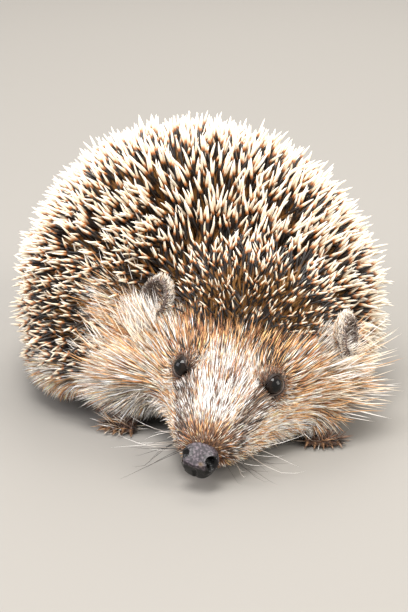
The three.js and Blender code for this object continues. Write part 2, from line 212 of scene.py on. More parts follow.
# %% Stance
FROM_DRAWING = (0.88, -95.3)  # where the drawing's origin lies in this frame, in mm
TOES = 5
TOE_FAN = math.radians(46)
FORE = {"half_width": 5.2, "half_length": 6.2, "half_height": 3.0, "toe": 3.9, "claw": 4.2, "girth": 6.4}
HIND = {"half_width": 5.2, "half_length": 11.6, "half_height": 3.0, "toe": 3.9, "claw": 3.6, "girth": 8.5}
STANCE = {
    "forefoot_right": (FORE, (-26, 48), math.radians(-22), (-25, 57, 26)),
    "forefoot_left": (FORE, (38.5, 36), math.radians(2), (35, 47, 26)),
    "hindfoot_right": (HIND, (-39, 138), math.radians(-14), (-32, 150, 30)),
    "hindfoot_left": (HIND, (24, 142), math.radians(14), (15, 152, 30)),
}


def from_drawing(x, y, z=0.0):
    return Vector((x + FROM_DRAWING[0], y + FROM_DRAWING[1], z)) * MM


def ankle_and_hip(name):
    size, (x, y), turn, hip = STANCE[name]
    back = size["half_length"] * 0.35
    ankle = from_drawing(x - math.sin(turn) * back, y + math.cos(turn) * back, size["half_height"] * 1.2)
    return ankle, from_drawing(*hip)


print("feet at", {name: [round(v / MM) for v in ankle_and_hip(name)[0][:2]] for name in STANCE})

# %% [markdown]
# ## Where the coat is, and how deep
# A hedgehog wears two coats. Spines cover the crown, back and flanks down to a skirt; coarse fur covers the face,
# the underside and the legs. Three plain functions of a place say which coat grows there and how deep it is. The
# skin, the spines and the fur all ask them, so they always agree.

# %% Coat regions
BROW_LINE = 9.0  # how far behind the eyes the spines start, in the middle of the brow
BROW_CURVE = 18.0  # how much farther back they start at the ears
BROW_HALF_WIDTH = 27.0
RUFF_DEPTH = 13.0  # how much farther back they start beside the cheeks, where long fur takes their place
FLANKS = {"right": (23, 33), "left": (46, 56)}  # how far out the face's hair gives way to the body's coat
FLANK_SKIRT = 18  # the height of the spines' lower edge at the front of the right flank
SKIRT_PLACES = [-48, -38, -26, -8, 60, 95]  # along the body from its middle, in mm
SKIRT_HEIGHTS = [27, 20, 16, 13, 13, 16]  # the height of the spines' lower edge above the floor at each of those


def step_between(value, low, high):
    """0 below low, 1 above high, and a smooth rise between them."""
    t = np.clip((value - low) / (high - low), 0, 1)
    return t * t * (3 - 2 * t)


def blend_between(value, low, high, at_low, at_high):
    return at_low + (at_high - at_low) * step_between(value, low, high)


def away_from(points, middle):
    """How far each point is from a middle, in millimetres."""
    return np.linalg.norm(points - middle, axis=1) / MM


def from_leg(points, name):
    """How far points are from the middle line of a leg, in millimetres."""
    low, high = (np.array(end) for end in ankle_and_hip(name))
    line = high - low
    share = np.clip((points - low) @ line / (line @ line), 0, 0.7)
    return np.linalg.norm(points - low - share[:, None] * line, axis=1) / MM


def on_flank(points):
    """1 on the sides of the body beyond the cheeks, and 0 between them."""
    x = points[:, 0] / MM
    return np.maximum(step_between(-x, *FLANKS["right"]), step_between(x, *FLANKS["left"]))


def on_body(points):
    """1 on the body and 0 on the head."""
    return np.maximum(step_between(to_head(points)[:, 1], 28, 38), on_flank(points))


def above_skirt(points):
    """How far places are above the spines' lower edge, in millimetres."""
    lower_edge = np.interp(points[:, 1] / MM, SKIRT_PLACES, SKIRT_HEIGHTS)
    lower_edge = blend_between(-points[:, 0] / MM, 24, 38, lower_edge, np.minimum(lower_edge, FLANK_SKIRT))
    return points[:, 2] / MM - lower_edge


def spiny(points, softness=3.0):
    """1 where spines grow, 0 where fur does, with an edge about twice softness wide, in millimetres."""
    across, behind, _ = to_head(points).T
    out = np.abs(across)
    brow = BROW_LINE + BROW_CURVE * np.minimum(1, out / BROW_HALF_WIDTH) ** 3
    brow += RUFF_DEPTH * step_between(out, 28, 44) * (1 - step_between(points[:, 2] / MM, 30, 42))
    on_top = step_between(behind, brow - softness, brow + softness)
    on_top = np.maximum(on_top, on_flank(points))
    return on_top * step_between(above_skirt(points), -softness, softness)


def coat_depth(points):
    """How deep the coat is over the skin, in millimetres."""
    across, behind, _ = to_head(points).T
    height = points[:, 2] / MM
    from_nose = np.linalg.norm(to_head(points) - to_head(middle_of("nose")), axis=1)
    face = blend_between(from_nose, 8, 45, 0.7, 2.6)
    face = blend_between(np.abs(across), 18, 32, face, 4.5)
    furry = blend_between(behind, 8, 34, face, 7.0)
    furry = blend_between(height, 5, 16, np.minimum(furry, 4.0), furry)
    spines = blend_between(behind, 12, 50, 8.0, 14.0)
    depth = furry + (spines - furry) * spiny(points, 7.0)
    for side in SIDES:
        from_eye = away_from(points, eye_middles[side])
        depth = blend_between(from_eye, 5, 11, np.minimum(depth, 1.0), depth)
    for name in STANCE:
        depth = blend_between(from_leg(points, name), 6, 14, np.minimum(depth, 1.2), depth)
    return depth


for place, point in {"brow": (0, 4, 8), "crown": (0, 30, 22), "cheek": (24, 6, -12)}.items():
    print(place, "coat is", round(float(coat_depth(from_head([point]))[0]), 1), "mm deep")

# %% [markdown]
# ## The skin
# Copies of the solids of flesh are swollen a little so that they overlap, joined, and turned into one closed surface
# by a voxel remesh. That surface is then drawn inwards in short steps, each as long as the coat is deep there, and
# remeshed after each step so that it stays even. A shrink in one go would fold over itself at the ears and legs.

# %% One closed body from the solids
SWELL = 0.7 * MM  # more than half of the 0.3 mm cuts between the solids
BODY_VOXEL = 1.5 * MM
NOT_FLESH = {"eye_right", "eye_left", "nose"}
EARS = {"ear_right", "ear_left"}


def modify(obj, kind, **settings):
    """Adds a modifier with its settings and applies it."""
    bpy.context.view_layer.objects.active = obj
    modifier = obj.modifiers.new(kind, kind)
    for name, value in settings.items():
        setattr(modifier, name, value)
    bpy.ops.object.modifier_apply(modifier=modifier.name)


def remesh(obj, voxel):
    """Turns an object into one even closed surface."""
    modify(obj, "REMESH", mode="VOXEL", voxel_size=voxel)


def smooth(obj, repeat):
    modify(obj, "SMOOTH", factor=0.5, iterations=repeat)


def places(obj):
    """An object's vertices as an array, in metres."""
    flat = np.empty(len(obj.data.vertices) * 3)
    obj.data.vertices.foreach_get("co", flat)
    return flat.reshape(-1, 3)


def normals(obj):
    flat = np.empty(len(obj.data.vertices) * 3)
    obj.data.vertex_normals.foreach_get("vector", flat)
    return flat.reshape(-1, 3)


def move_to(obj, points):
    obj.data.vertices.foreach_set("co", np.asarray(points, dtype=float).ravel())
    obj.data.update()


def new_object(name, mesh):
    obj = bpy.data.objects.new(name, mesh)
    bpy.context.scene.collection.objects.link(obj)
    return obj


def copied(node, swell=0.0, hull=False):
    """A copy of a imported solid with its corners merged, swollen by a given amount, or wrapped in its convex hull."""
    work = bmesh.new()
    work.from_mesh(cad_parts[node].data)
    bmesh.ops.remove_doubles(work, verts=work.verts, dist=1e-6)
    if hull:
        bmesh.ops.convex_hull(work, input=work.verts)
        loose = [vert for vert in work.verts if not vert.link_faces]
        bmesh.ops.delete(work, geom=loose, context="VERTS")
    work.normal_update()
    for vert in work.verts:
        vert.co += vert.normal * swell
    mesh = bpy.data.meshes.new(node + "_copy")
    work.to_mesh(mesh)
    work.free()
    return new_object(node + "_copy", mesh)


def joined(name, objects):
    """Several objects as one mesh object."""
    bpy.ops.object.select_all(action="DESELECT")
    for obj in objects:
        obj.select_set(True)
    bpy.context.view_layer.objects.active = objects[0]
    bpy.ops.object.join()
    objects[0].name = objects[0].data.name = name
    return objects[0]


flesh = [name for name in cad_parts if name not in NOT_FLESH]
skin = joined("skin", [copied(name, SWELL, name in EARS) for name in flesh])
remesh(skin, BODY_VOXEL)
print("the outer form has", len(skin.data.vertices), "vertices")

# %% Close the gaps round the ears and feet
CLOSING = 1.6 * MM

move_to(skin, places(skin) + normals(skin) * CLOSING)
remesh(skin, BODY_VOXEL)
move_to(skin, places(skin) - normals(skin) * (CLOSING + SWELL))
remesh(skin, BODY_VOXEL)
outer_form = BVHTree.FromObject(skin, bpy.context.evaluated_depsgraph_get())


def to_outer_form(points):
    """How far each place is from the animal's outer form, in millimetres."""
    return np.array([outer_form.find_nearest(Vector(point))[3] for point in points]) / MM


print("closed form:", len(skin.data.vertices), "vertices")

# %% Draw the skin in by the coat's depth
SHRINK_STEPS = 6

for step in range(SHRINK_STEPS):
    points = places(skin)
    inwards = normals(skin) * coat_depth(points)[:, None] * MM / SHRINK_STEPS
    move_to(skin, points - inwards)
    smooth(skin, 2)
    remesh(skin, BODY_VOXEL)
low, high = places(skin).min(0), places(skin).max(0)
print("the skin measures", np.round((high - low) / MM, 1), "mm, with", len(skin.data.vertices), "vertices")

# %% Legs, and a finer, smoother skin
SKIN_VOXEL = 0.95 * MM
LEG_BALLS = 7
SOLE_GAP = 0.6  # how far the leg's own skin stays above the floor, in mm; only the pads touch it


def ball(centre, radii, matrix=None, segments=24, rings=16):
    """A UV sphere stretched to three radii, in millimetres unless a matrix says more, with its place in its mesh."""
    bpy.ops.object.select_all(action="DESELECT")
    bpy.ops.mesh.primitive_uv_sphere_add(segments=segments, ring_count=rings, radius=1)
    obj = bpy.context.object
    place = Matrix.Translation(centre) @ Matrix.Diagonal((*radii, 1))
    obj.data.transform((matrix or Matrix.Scale(MM, 4)) @ place)
    return obj


def leg(name):
    """A leg as a row of balls, thicker towards the hip."""
    ankle, hip = ankle_and_hip(name)
    girth = STANCE[name][0]["girth"]
    balls = []
    for step in range(LEG_BALLS):
        share = step / (LEG_BALLS - 1)
        middle = ankle.lerp(hip, share) / MM
        radius = min(girth * (0.55 + 0.45 * share), middle.z - SOLE_GAP)
        balls.append(ball(middle, (radius,) * 3))
    return joined(name + "_leg", balls)


skin = joined("skin", [skin, *(leg(name) for name in STANCE)])
remesh(skin, SKIN_VOXEL)
smooth(skin, 6)
print("the fine skin has", len(skin.data.vertices), "vertices")

# %% [markdown]
# ## Ears
# Small rounded cups of thin skin. Each is a copy of its solid, remeshed finely enough that its 1.2 mm wall stays
# whole, and smoothed until the facets are gone.

# %% Ears
FINE_VOXEL = 0.35 * MM


def fine_copy(name, node, repeat):
    obj = copied(node)
    obj.name = name
    remesh(obj, FINE_VOXEL)
    smooth(obj, repeat)
    return obj


ears = {side: fine_copy("ear_cup_" + side, "ear_" + side, 8) for side in SIDES}
print("ear vertices:", {side: len(ear.data.vertices) for side, ear in ears.items()})

# %% [markdown]
# ## Feet
# Each foot is a low pad with five toes that fan out, a knuckle and a round tip on each toe, and small pads under
# them. Balls are added where those swellings are and a fine remesh melts them into one foot.

# %% Feet
def foot_matrix(name):
    """Places a foot that points to -Y with its middle on the floor at the origin, drawn in millimetres."""
    _, (x, y), turn, _ = STANCE[name]
    return Matrix.Translation(from_drawing(x, y)) @ Matrix.Rotation(turn, 4, "Z") @ Matrix.Scale(MM, 4)


def toe_line(size, toe):
    """Where a toe starts, and the way that it points, seen from above."""
    share = toe / (TOES - 1) - 0.5
    angle = share * TOE_FAN
    reach = size["half_length"] * (1 - 0.35 * abs(share))
    start = Vector((size["half_width"] * 1.15 * share, -reach * 0.62, 0))
    return start, Vector((math.sin(angle), -math.cos(angle), 0))


def foot(name):
    size = STANCE[name][0]
    matrix = foot_matrix(name)
    wide, long, high = size["half_width"], size["half_length"], size["half_height"]
    balls = [
        ball((0, 0, high * 0.95), (wide * 0.88, long * 0.92, high * 0.95), matrix),
        ball((0, long * 0.55, high * 0.55), (wide * 0.6, long * 0.38, high * 0.55), matrix),
        ball((-wide * 0.45, -long * 0.35, 1.3), (2.0, 2.4, 1.3), matrix),
        ball((wide * 0.45, -long * 0.35, 1.3), (2.0, 2.4, 1.3), matrix),
    ]
    for toe in range(TOES):
        start, ahead = toe_line(size, toe)
        for distance, height, radius in ((0, 2.0, 1.6), (1.5, 2.1, 1.3), (2.7, 1.7, 1.2), (size["toe"], 1.35, 1.3)):
            balls.append(ball(start + ahead * distance + Vector((0, 0, height)), (radius,) * 3, matrix, 12, 8))
    made = joined(name + "_skin", balls)
    remesh(made, FINE_VOXEL)
    smooth(made, 4)
    return made


feet = {name: foot(name) for name in STANCE}
print("foot vertices:", {name: len(made.data.vertices) for name, made in feet.items()})

# %% [markdown]
# ## Claws
# Twenty narrow, slightly hooked claws of brown horn. One is made from a cone: subdivided, bent down by moving its
# rings, and smoothed. The others are copies of it, each turned to its own toe.

# %% Claws
CLAW_RADIUS = 0.72
CLAW_BEND = 0.055  # drop per square millimetre along the claw


def claw_pattern():
    """One claw along -Y from the origin, 1 mm long before it is stretched."""
    bpy.ops.object.select_all(action="DESELECT")
    bpy.ops.mesh.primitive_cone_add(vertices=8, radius1=CLAW_RADIUS, radius2=0.06, depth=1)
    claw = bpy.context.object
    bpy.ops.object.mode_set(mode="EDIT")
    bpy.ops.mesh.select_all(action="SELECT")
    bpy.ops.mesh.subdivide(number_cuts=2)
    bpy.ops.object.mode_set(mode="OBJECT")
    claw.data.transform(Matrix.Rotation(math.pi / 2, 4, "X") @ Matrix.Translation((0, 0, 0.5)))
    claw.data.transform(Matrix.Diagonal((1, 1, 1.15, 1)))
    return claw


def claw_on(pattern, name, toe):
    size = STANCE[name][0]
    start, ahead = toe_line(size, toe)
    claw = new_object("claw", pattern.data.copy())
    claw.data.transform(Matrix.Diagonal((1, size["claw"], 1, 1)))
    points = places(claw)
    points[:, 2] -= CLAW_BEND * points[:, 1] ** 2
    move_to(claw, points)
    root = start + ahead * (size["toe"] + 0.4) + Vector((0, 0, 1.75))
    turn = math.atan2(ahead.x, -ahead.y)
    claw.data.transform(foot_matrix(name) @ Matrix.Translation(root) @ Matrix.Rotation(turn, 4, "Z"))
    return claw


pattern = claw_pattern()
claws = joined("claws", [claw_on(pattern, name, toe) for name in STANCE for toe in range(TOES)])
bpy.data.objects.remove(pattern)
modify(claws, "SUBSURF", levels=1, render_levels=1)
print("claws:", len(claws.data.polygons), "faces, lowest", round(places(claws)[:, 2].min() / MM, 2), "mm")

# %% [markdown]
# ## Eyes and lids
# A hedgehog's eye is a black bead, with only a trace of dark brown round the pupil. The ball is a sphere with a
# slight bulge for the cornea. Each lid ring is a torus whose every point is laid again by two angles: round the eye,
# and round the lid's own thickness, so that its inner edge rests on the ball and its outer edge sinks in the skin.

# %% Eyes
EYE_RADIUS = 3.4
CORNEA_BULGE = 0.25
CORNEA_HALF_ANGLE = math.radians(48)


def eye_axes(side):
    """Three directions at an eye: forwards along the lids, up across them, and out of the socket."""
    out = Vector((SIDES[side] * 0.68, -0.63, 0.38)).normalized()
    forward = Vector((-SIDES[side] * 0.32, -0.9, -0.3))
    forward = (forward - out * forward.dot(out)).normalized()
    up = out.cross(forward)
    up = up if up.z > 0 else -up
    return [Vector(HEAD_AXES.T @ np.array(axis)) for axis in (forward, up, out)]


def set_attribute(mesh, name, values):
    """Gives each vertex its own number, or its own colour where values has three numbers for each."""
    if values.ndim == 1:
        mesh.attributes.new(name, "FLOAT", "POINT").data.foreach_set("value", values)
    else:
        colours = np.column_stack([values, np.ones(len(values))])
        mesh.attributes.new(name, "FLOAT_COLOR", "POINT").data.foreach_set("color", colours.ravel())


def eyeball(side):
    bpy.ops.object.select_all(action="DESELECT")
    bpy.ops.mesh.primitive_uv_sphere_add(segments=64, ring_count=40, radius=EYE_RADIUS * MM)
    obj = bpy.context.object
    obj.name = obj.data.name = "eyeball_" + side
    points = places(obj)
    polar = np.arccos(np.clip(points[:, 2] / (EYE_RADIUS * MM), -1, 1))
    bulge = 1 + CORNEA_BULGE / EYE_RADIUS * step_between(CORNEA_HALF_ANGLE - polar, 0, CORNEA_HALF_ANGLE)
    _, up, out = (np.array(axis) for axis in eye_axes(side))
    turned = (points * bulge[:, None]) @ np.stack([np.cross(up, out), up, out])
    move_to(obj, turned + eye_middles[side])
    set_attribute(obj.data, "from_pupil", polar / (math.pi / 2))
    bpy.ops.object.shade_smooth()
    return obj


eyes = {side: eyeball(side) for side in SIDES}
print("eyes", EYE_RADIUS * 2, "mm across,", len(eyes["left"].data.vertices), "vertices each")

# %% Lids
LID_AROUND = 72
LID_THROUGH = 16
OPENING = {"long": math.radians(78), "tall": math.radians(55)}  # half angles of the open lids, seen from the ball
LID_SECTION = [  # outwards from the opening's edge and upwards from it, in mm
    (-0.15, -0.5), (0.0, -0.12), (0.1, 0.16), (0.3, 0.27), (0.6, 0.15), (1.0, -0.3), (1.5, -1.0), (2.1, -1.8),
    (2.4, -2.6), (2.2, -3.4), (1.7, -3.8), (1.0, -3.6), (0.4, -3.0), (-0.1, -2.2), (-0.35, -1.5), (-0.3, -0.9),
]


def face_outwards(obj):
    """Turns every face of a closed mesh outwards."""
    work = bmesh.new()
    work.from_mesh(obj.data)
    bmesh.ops.recalc_face_normals(work, faces=work.faces)
    work.to_mesh(obj.data)
    work.free()


def lid_ring(side):
    bpy.ops.object.select_all(action="DESELECT")
    bpy.ops.mesh.primitive_torus_add(major_segments=LID_AROUND, minor_segments=LID_THROUGH)
    obj = bpy.context.object
    obj.name = "lids_" + side
    forward, up, out = (np.array(axis) for axis in eye_axes(side))
    laid = []
    for around in range(LID_AROUND):
        angle = 2 * math.pi * around / LID_AROUND
        pointed = max(0, math.cos(angle)) ** 5 * 0.48  # the front corner of the eye is drawn out towards the nose
        open_by = 1 / math.hypot(math.cos(angle) / OPENING["long"], math.sin(angle) / OPENING["tall"]) + pointed
        edge_out, edge_up = EYE_RADIUS * math.sin(open_by), EYE_RADIUS * math.cos(open_by)
        heavier = 1 + 0.25 * max(0, math.sin(angle))  # the upper lid is the thicker one
        for outwards, upwards in LID_SECTION:
            ring = edge_out + outwards
            along_eye = forward * math.cos(angle) + up * math.sin(angle)
            laid.append(eye_middles[side] + (along_eye * ring + out * (edge_up + upwards * heavier)) * MM)
    move_to(obj, np.array(laid))
    face_outwards(obj)
    return obj


lids = {side: lid_ring(side) for side in SIDES}
print("lids:", {side: len(lid.data.vertices) for side, lid in lids.items()})

# %% [markdown]
# ## One skin
# Ears, feet and lids are united with the body by booleans, so that the skin is one closed surface without a seam,
# fine where it is bare and coarser where the coat hides it.

# %% Unite the skin
body_points = len(skin.data.vertices)
ground = skin.copy()
ground.data = skin.data.copy()
for addition in [*ears.values(), *feet.values(), *lids.values()]:
    modify(skin, "BOOLEAN", operation="UNION", solver="MANIFOLD", object=addition)
print("skin:", body_points, "vertices alone,", len(skin.data.vertices), "with ears, feet and lids")

# %% [markdown]
# ## The nose
# A hedgehog's nose is a bare pad, dry and pebbled on top and wet black at the nostrils, which open sideways as
# commas. A fine sphere is squared up a little, and then its points are pushed in at the nostrils, the comma slits
# and the groove below, and out at the rims. Each push is a smooth bump or dent with a place and a size in mm.

# %% Nose form
NOSE_RADII = np.array([6.1, 5.2, 5.4])  # half width, length and height, in mm
NOSE_SQUARENESS = 0.78  # 1 would be round
NOSE_TOP = np.array([0.0, -0.5, 0.87])  # the way the flat top of the pad looks
NOSE_PLANES = [  # the pad's flatter faces: the way each looks, and its distance from the middle in mm
    (NOSE_TOP, 3.5), ((0.0, -0.93, -0.37), 3.9), ((0.9, -0.44, 0.0), 5.0), ((-0.9, -0.44, 0.0), 5.0),
]
NOSTRIL = np.array([4.8, -1.8, 1.7])  # from the nose's middle, in the head's axes, on its left
NOSTRIL_RADII = np.array([2.9, 2.5, 2.8])
SLIT = [((5.4, -0.9, 2.3), 0.9), ((5.6, 0.2, 2.8), 0.75), ((5.7, 1.4, 2.9), 0.6)]  # the comma's tail, and radii
NOSE_TURN = math.radians(-11)  # a hedgehog's nose moves freely; this one is turned to its right
OCHRE = (2.1, -3.7, 1.3)  # a small dried patch at the inner end of the left nostril


def bump(points, centre, radii):
    """1 at a centre, falling smoothly to 0 at the radii."""
    r2 = (((points - centre) / radii) ** 2).sum(1)
    return np.clip(1 - r2, 0, 1) ** 2


def nose_pad():
    bpy.ops.object.select_all(action="DESELECT")
    bpy.ops.mesh.primitive_uv_sphere_add(segments=144, ring_count=96, radius=1)
    obj = bpy.context.object
    obj.name = obj.data.name = "nose_pad"
    unit_points = places(obj)
    form = np.sign(unit_points) * np.abs(unit_points) ** NOSE_SQUARENESS * NOSE_RADII * 0.95
    for looks, distance in NOSE_PLANES:
        looks = np.array(looks) / np.linalg.norm(looks)
        over = form @ looks - distance
        form -= 0.85 * np.where(over > 0, over, 0)[:, None] * looks
    form[:, 0] *= blend_between(form[:, 2], -5, 1, 0.84, 1.0)  # narrower below
    low = step_between(-form[:, 2], -0.5, 2.5)
    ahead = np.clip(-unit_points[:, 1], 0, 1)
    form[:, 1] += 0.8 * np.exp(-((form[:, 0] / 0.45) ** 2)) * ahead * low
    form[:, 2] -= 0.35 * np.exp(-((form[:, 0] / 1.1) ** 2)) * ahead * (1 - low)
    wet = step_between(-form @ NOSE_TOP, -2.7, -1.7) * np.clip(0.6 - unit_points[:, 1], 0, 1)
    ochre = bump(form, np.array(OCHRE), np.array([1.5, 1.3, 1.3]))
    for sign in SIDES.values():
        mirror = np.array([sign, 1, 1])
        rim = bump(form, (NOSTRIL + (0, 0.3, 0)) * mirror, NOSTRIL_RADII * 1.65)
        pit = bump(form, NOSTRIL * mirror, NOSTRIL_RADII)
        lobe = bump(form, (NOSTRIL + (-1.3, -0.2, -3.0)) * mirror, np.array([2.4, 2.4, 1.7]))
        slit = np.zeros(len(form))
        for centre, radius in SLIT:
            slit = np.maximum(slit, bump(form, np.array(centre) * mirror, np.array([1.8, radius * 1.6, radius])))
        outwards = np.array([sign * 0.85, -0.45, 0.0])
        form += (0.9 * rim + 0.6 * lobe - 4.0 * pit - 1.3 * slit)[:, None] * outwards
        wet = np.maximum(wet, np.clip(2.6 * pit + 2.2 * slit + 1.3 * rim + 1.4 * lobe, 0, 1))
    turn = np.array(Matrix.Rotation(NOSE_TURN, 3, "Z"))
    move_to(obj, from_head(form @ turn.T + to_head(middle_of("nose")) + (0, -0.2, -0.1)))
    set_attribute(obj.data, "wet", np.clip(wet, 0, 1))
    set_attribute(obj.data, "ochre", ochre)
    face_outwards(obj)
    bpy.ops.object.shade_smooth()
    return obj


nose = nose_pad()
print("nose pad:", len(nose.data.polygons), "faces")

# %% [markdown]
# ## The markings
# Skin and coat share one description of the animal's colours. For any place it gives the share of hairs of each
# colour: white down the blaze, ginger on the brow and cheeks, nearly black round the eyes, and so on. Near the floor
# and round the right forefoot the mix is darkened as painted shade. A hair draws one colour by those shares, so that
# pale and dark hairs lie side by side as they do on the animal; the skin takes the mean, darker, partly as painted
# shade between the hairs.

# %% Hair colours and where they grow
HAIR = {
    "white": "#fffaf4", "cream": "#f6e6cf", "ginger": "#dca873", "rust": "#a96f49",
    "brown": "#6f503d", "dark": "#21150f", "grey": "#a59484",
}
HAIR_COLOURS = np.array([linear(code)[:3] for code in HAIR.values()])
MUZZLE_SIDE = np.array([6.5, -26.0, -11.5])  # where the dark band from the eye ends, on the animal's left


def shares(**parts):
    return np.array([parts.get(name, 0.0) for name in HAIR])


def lay(under, weight, over):
    """Lays one mix of hairs over another, by a weight from 0 to 1 at each place."""
    return under + weight[:, None] * (over - under)


def mound(distance, inner, outer):
    """1 within an inner distance, falling to 0 at an outer one."""
    return 1 - step_between(distance, inner, outer)


def near_legs(points, inner, outer):
    """1 within an inner distance of a leg's middle line, falling to 0 at an outer one."""
    return np.max([mound(from_leg(points, name), inner, outer) for name in STANCE], axis=0)


def body_mix(points):
    """The mix away from the face: beige flanks, a paler skirt, brown legs, a brown-grey belly, and painted shade near
    the floor and round the right forefoot.
    """
    height, along = points[:, 2] / MM, points[:, 1] / MM
    mix = np.tile(shares(cream=0.46, ginger=0.22, white=0.22, rust=0.1), (len(points), 1))
    mix = lay(mix, mound(height, 8, 26) * step_between(along, -45, -20),
              shares(cream=0.58, ginger=0.2, white=0.14, rust=0.05, grey=0.03))
    # the belly's own brown-grey fur, made darker towards the floor as painted shade
    mix = lay(mix, mound(height, 4, 9), shares(brown=0.5, grey=0.15, dark=0.35))
    for name in STANCE:
        mix = lay(mix, mound(from_leg(points, name), 7, 12), shares(brown=0.54, rust=0.2, dark=0.26))
    # painted shadow: round the right forefoot and low under the chest, hair and skin are darkened as shade under the
    # body
    shaded = mound(from_leg(points, "forefoot_right"), 9, 22) * mound(height, 8, 13)
    return lay(mix, shaded, shares(dark=0.6, brown=0.4))


def hair_mix(points):
    """For each place, the share of hairs of each colour, with painted shade near the floor and round the right
    forefoot.
    """
    across, behind, up = to_head(points).T
    out = np.abs(across)
    mirrored = np.stack([out, behind, up], axis=1)
    eye = to_head(eye_middles["left"])
    from_eye = np.linalg.norm(mirrored - eye, axis=1)
    face = np.tile(shares(ginger=0.28, cream=0.42, rust=0.1, white=0.2), (len(points), 1))
    # the brow: ginger and rust hairs, and near-black ones that are partly its own colour and partly painted shade in
    # the gaps between hairs
    face = lay(face, step_between(behind, -2, 5) * mound(out, 14, 26),
               shares(ginger=0.36, rust=0.22, cream=0.06, dark=0.36))
    face = lay(face, step_between(out, 20, 28) * step_between(behind, 0, 14),
               shares(cream=0.34, ginger=0.42, white=0.14, rust=0.1))
    face = lay(face, step_between(-up, 11, 18) * step_between(behind, -20, -8),
               shares(cream=0.24, white=0.74, ginger=0.02))
    chin = step_between(-up, 12, 16) * mound(behind, -12, -2)
    face = lay(face, chin, shares(cream=0.52, ginger=0.3, white=0.1, brown=0.08))
    cheek = mound(np.linalg.norm((mirrored - (21, 1, -8)) / (9, 10, 8), axis=1), 0.4, 1.2)
    face = lay(face, 0.8 * cheek, shares(ginger=0.42, rust=0.1, cream=0.34, white=0.14))
    streak = mound(np.linalg.norm((mirrored - (19, 7, 6)) / (5, 7, 5), axis=1), 0.3, 1.1)
    face = lay(face, 0.8 * streak, shares(white=0.55, cream=0.25, ginger=0.2))
    width = np.interp(behind, [-26, -12, -3, 4, 12], [4.0, 6.5, 10.5, 12.5, 15.0])
    blaze = mound(out / width, 0.45, 1.25) * step_between(behind, -25, -18) * mound(behind, -7, 3)
    face = lay(face, blaze, shares(white=0.82, grey=0.07, rust=0.05, brown=0.06))
    face = lay(face, blaze * step_between(behind, -14, -5),
               shares(white=0.4, cream=0.12, ginger=0.08, rust=0.24, brown=0.16))
    to_muzzle = MUZZLE_SIDE - eye
    share = np.clip((mirrored - eye) @ to_muzzle / (to_muzzle @ to_muzzle), 0, 1)
    from_band = np.linalg.norm(mirrored - eye - share[:, None] * to_muzzle, axis=1)
    face = lay(face, 0.92 * mound(from_band, 2.4, 5.4), shares(grey=0.3, brown=0.38, dark=0.16, white=0.16))
    muzzle_top = mound(behind, -25, -19) * mound(out, 4, 9)
    face = lay(face, 0.9 * muzzle_top, shares(brown=0.45, ginger=0.25, rust=0.2, cream=0.1))
    ring = mound(from_eye, 3.9, 6.4)
    face = lay(face, ring, shares(dark=0.2, brown=0.46, rust=0.16, grey=0.18))
    near_leg = near_legs(points, 8, 12)
    # low on the face, near the floor, the hair takes the body's mix, and with it the painted shade there
    by_floor = mound(points[:, 2] / MM, 7, 10) * step_between(behind, -2, 4)
    onto_body = np.max([on_body(points), step_between(-up, 26, 36), near_leg, by_floor], axis=0)
    return face + onto_body[:, None] * (body_mix(points) - face)


UNEVEN = 0.32  # how far hairs of one colour differ in brightness, as the spread of its logarithm


def draw(mix, rng):
    """One colour for each hair, drawn by the shares of its mix."""
    chances = np.cumsum(mix, axis=1)
    return HAIR_COLOURS[(rng.random(len(mix))[:, None] > chances / chances[:, -1:]).sum(1)]


def draw_colours(points, rng):
    """One colour for each hair, drawn by the shares at its root, a little lighter or darker by chance."""
    return np.minimum(draw(hair_mix(points), rng) * np.exp(rng.normal(0, UNEVEN, (len(points), 1))), 1.0)


print("hairs between the eyes:", dict(zip(HAIR, np.round(hair_mix(from_head([(0, 0, 5)]))[0], 2))))

# %% [markdown]
# ## The lie of the coat
# On the face the hair runs away from the nose and parts round the eyes. Behind the ears it turns to run back along
# the body and down the flanks. One function gives this direction for any place on the skin, and every kind of hair
# and spine follows it.

# %% Lie
nose_point = middle_of("nose")


def unit(vectors):
    return vectors / np.maximum(np.linalg.norm(vectors, axis=1, keepdims=True), 1e-12)


def along_skin(directions, ups):
    """Directions laid along the skin, where ups are its normals."""
    return unit(directions - (directions * ups).sum(1, keepdims=True) * ups)


def lie(points, up_from_skin):
    """The direction along the skin in which the coat lies, at each place."""
    across, behind, _ = to_head(points).T
    from_nose = unit(points - nose_point)
    sideways = np.clip(points[:, 0] / (50 * MM), -1, 1)
    steep = 1 - np.clip(up_from_skin[:, 2], 0, 1)
    backwards = unit(np.stack([0.45 * sideways, np.ones(len(points)), -0.75 * steep], axis=1))
    turned = np.maximum(step_between(behind, 25, 70), 0.75 * on_flank(points))[:, None]
    direction = from_nose * (1 - turned) + backwards * turned
    downwards = unit(np.stack([-0.2 * sideways, 0.5 + 0 * sideways, -1 + 0 * sideways], axis=1))
    beside = 0.85 * step_between(np.abs(across), 18, 32) * step_between(behind, 2, 14) * mound(behind, 50, 75)
    beside = beside[:, None]
    outwards = unit(np.stack([np.sign(across), 0.35 + 0 * across, 0.12 + 0 * across], axis=1))
    direction = direction * (1 - beside) + outwards * beside
    low = (mound(points[:, 2] / MM, 9, 20) * step_between(behind, 2, 14))[:, None]
    direction = direction * (1 - low) + downwards * low
    for side in SIDES:
        from_eye = points - eye_middles[side]
        near = mound(np.linalg.norm(from_eye, axis=1) / MM, 3.5, 11)
        direction += 1.3 * near[:, None] * unit(from_eye)
    return along_skin(direction, up_from_skin)


print("hair on the brow lies along", np.round(lie(from_head([(0, 5, 8)]), head_z[None]), 2)[0])

# %% [markdown]
# ## Growing hairs and spines
# Tens of thousands of tapered stems can't each be modelled with an operator, so they are made as arrays: one
# function spreads roots evenly over the skin, and one builds every stem of a piece at once, as rings of points round
# a bent middle line. Each stem is a closed solid of its own. In the map OFBake, each has a small patch of its own,
# placed where its root lies on an unwrap of the skin.

# %% Roots
TRIES = 5  # random places tried for each root that is kept


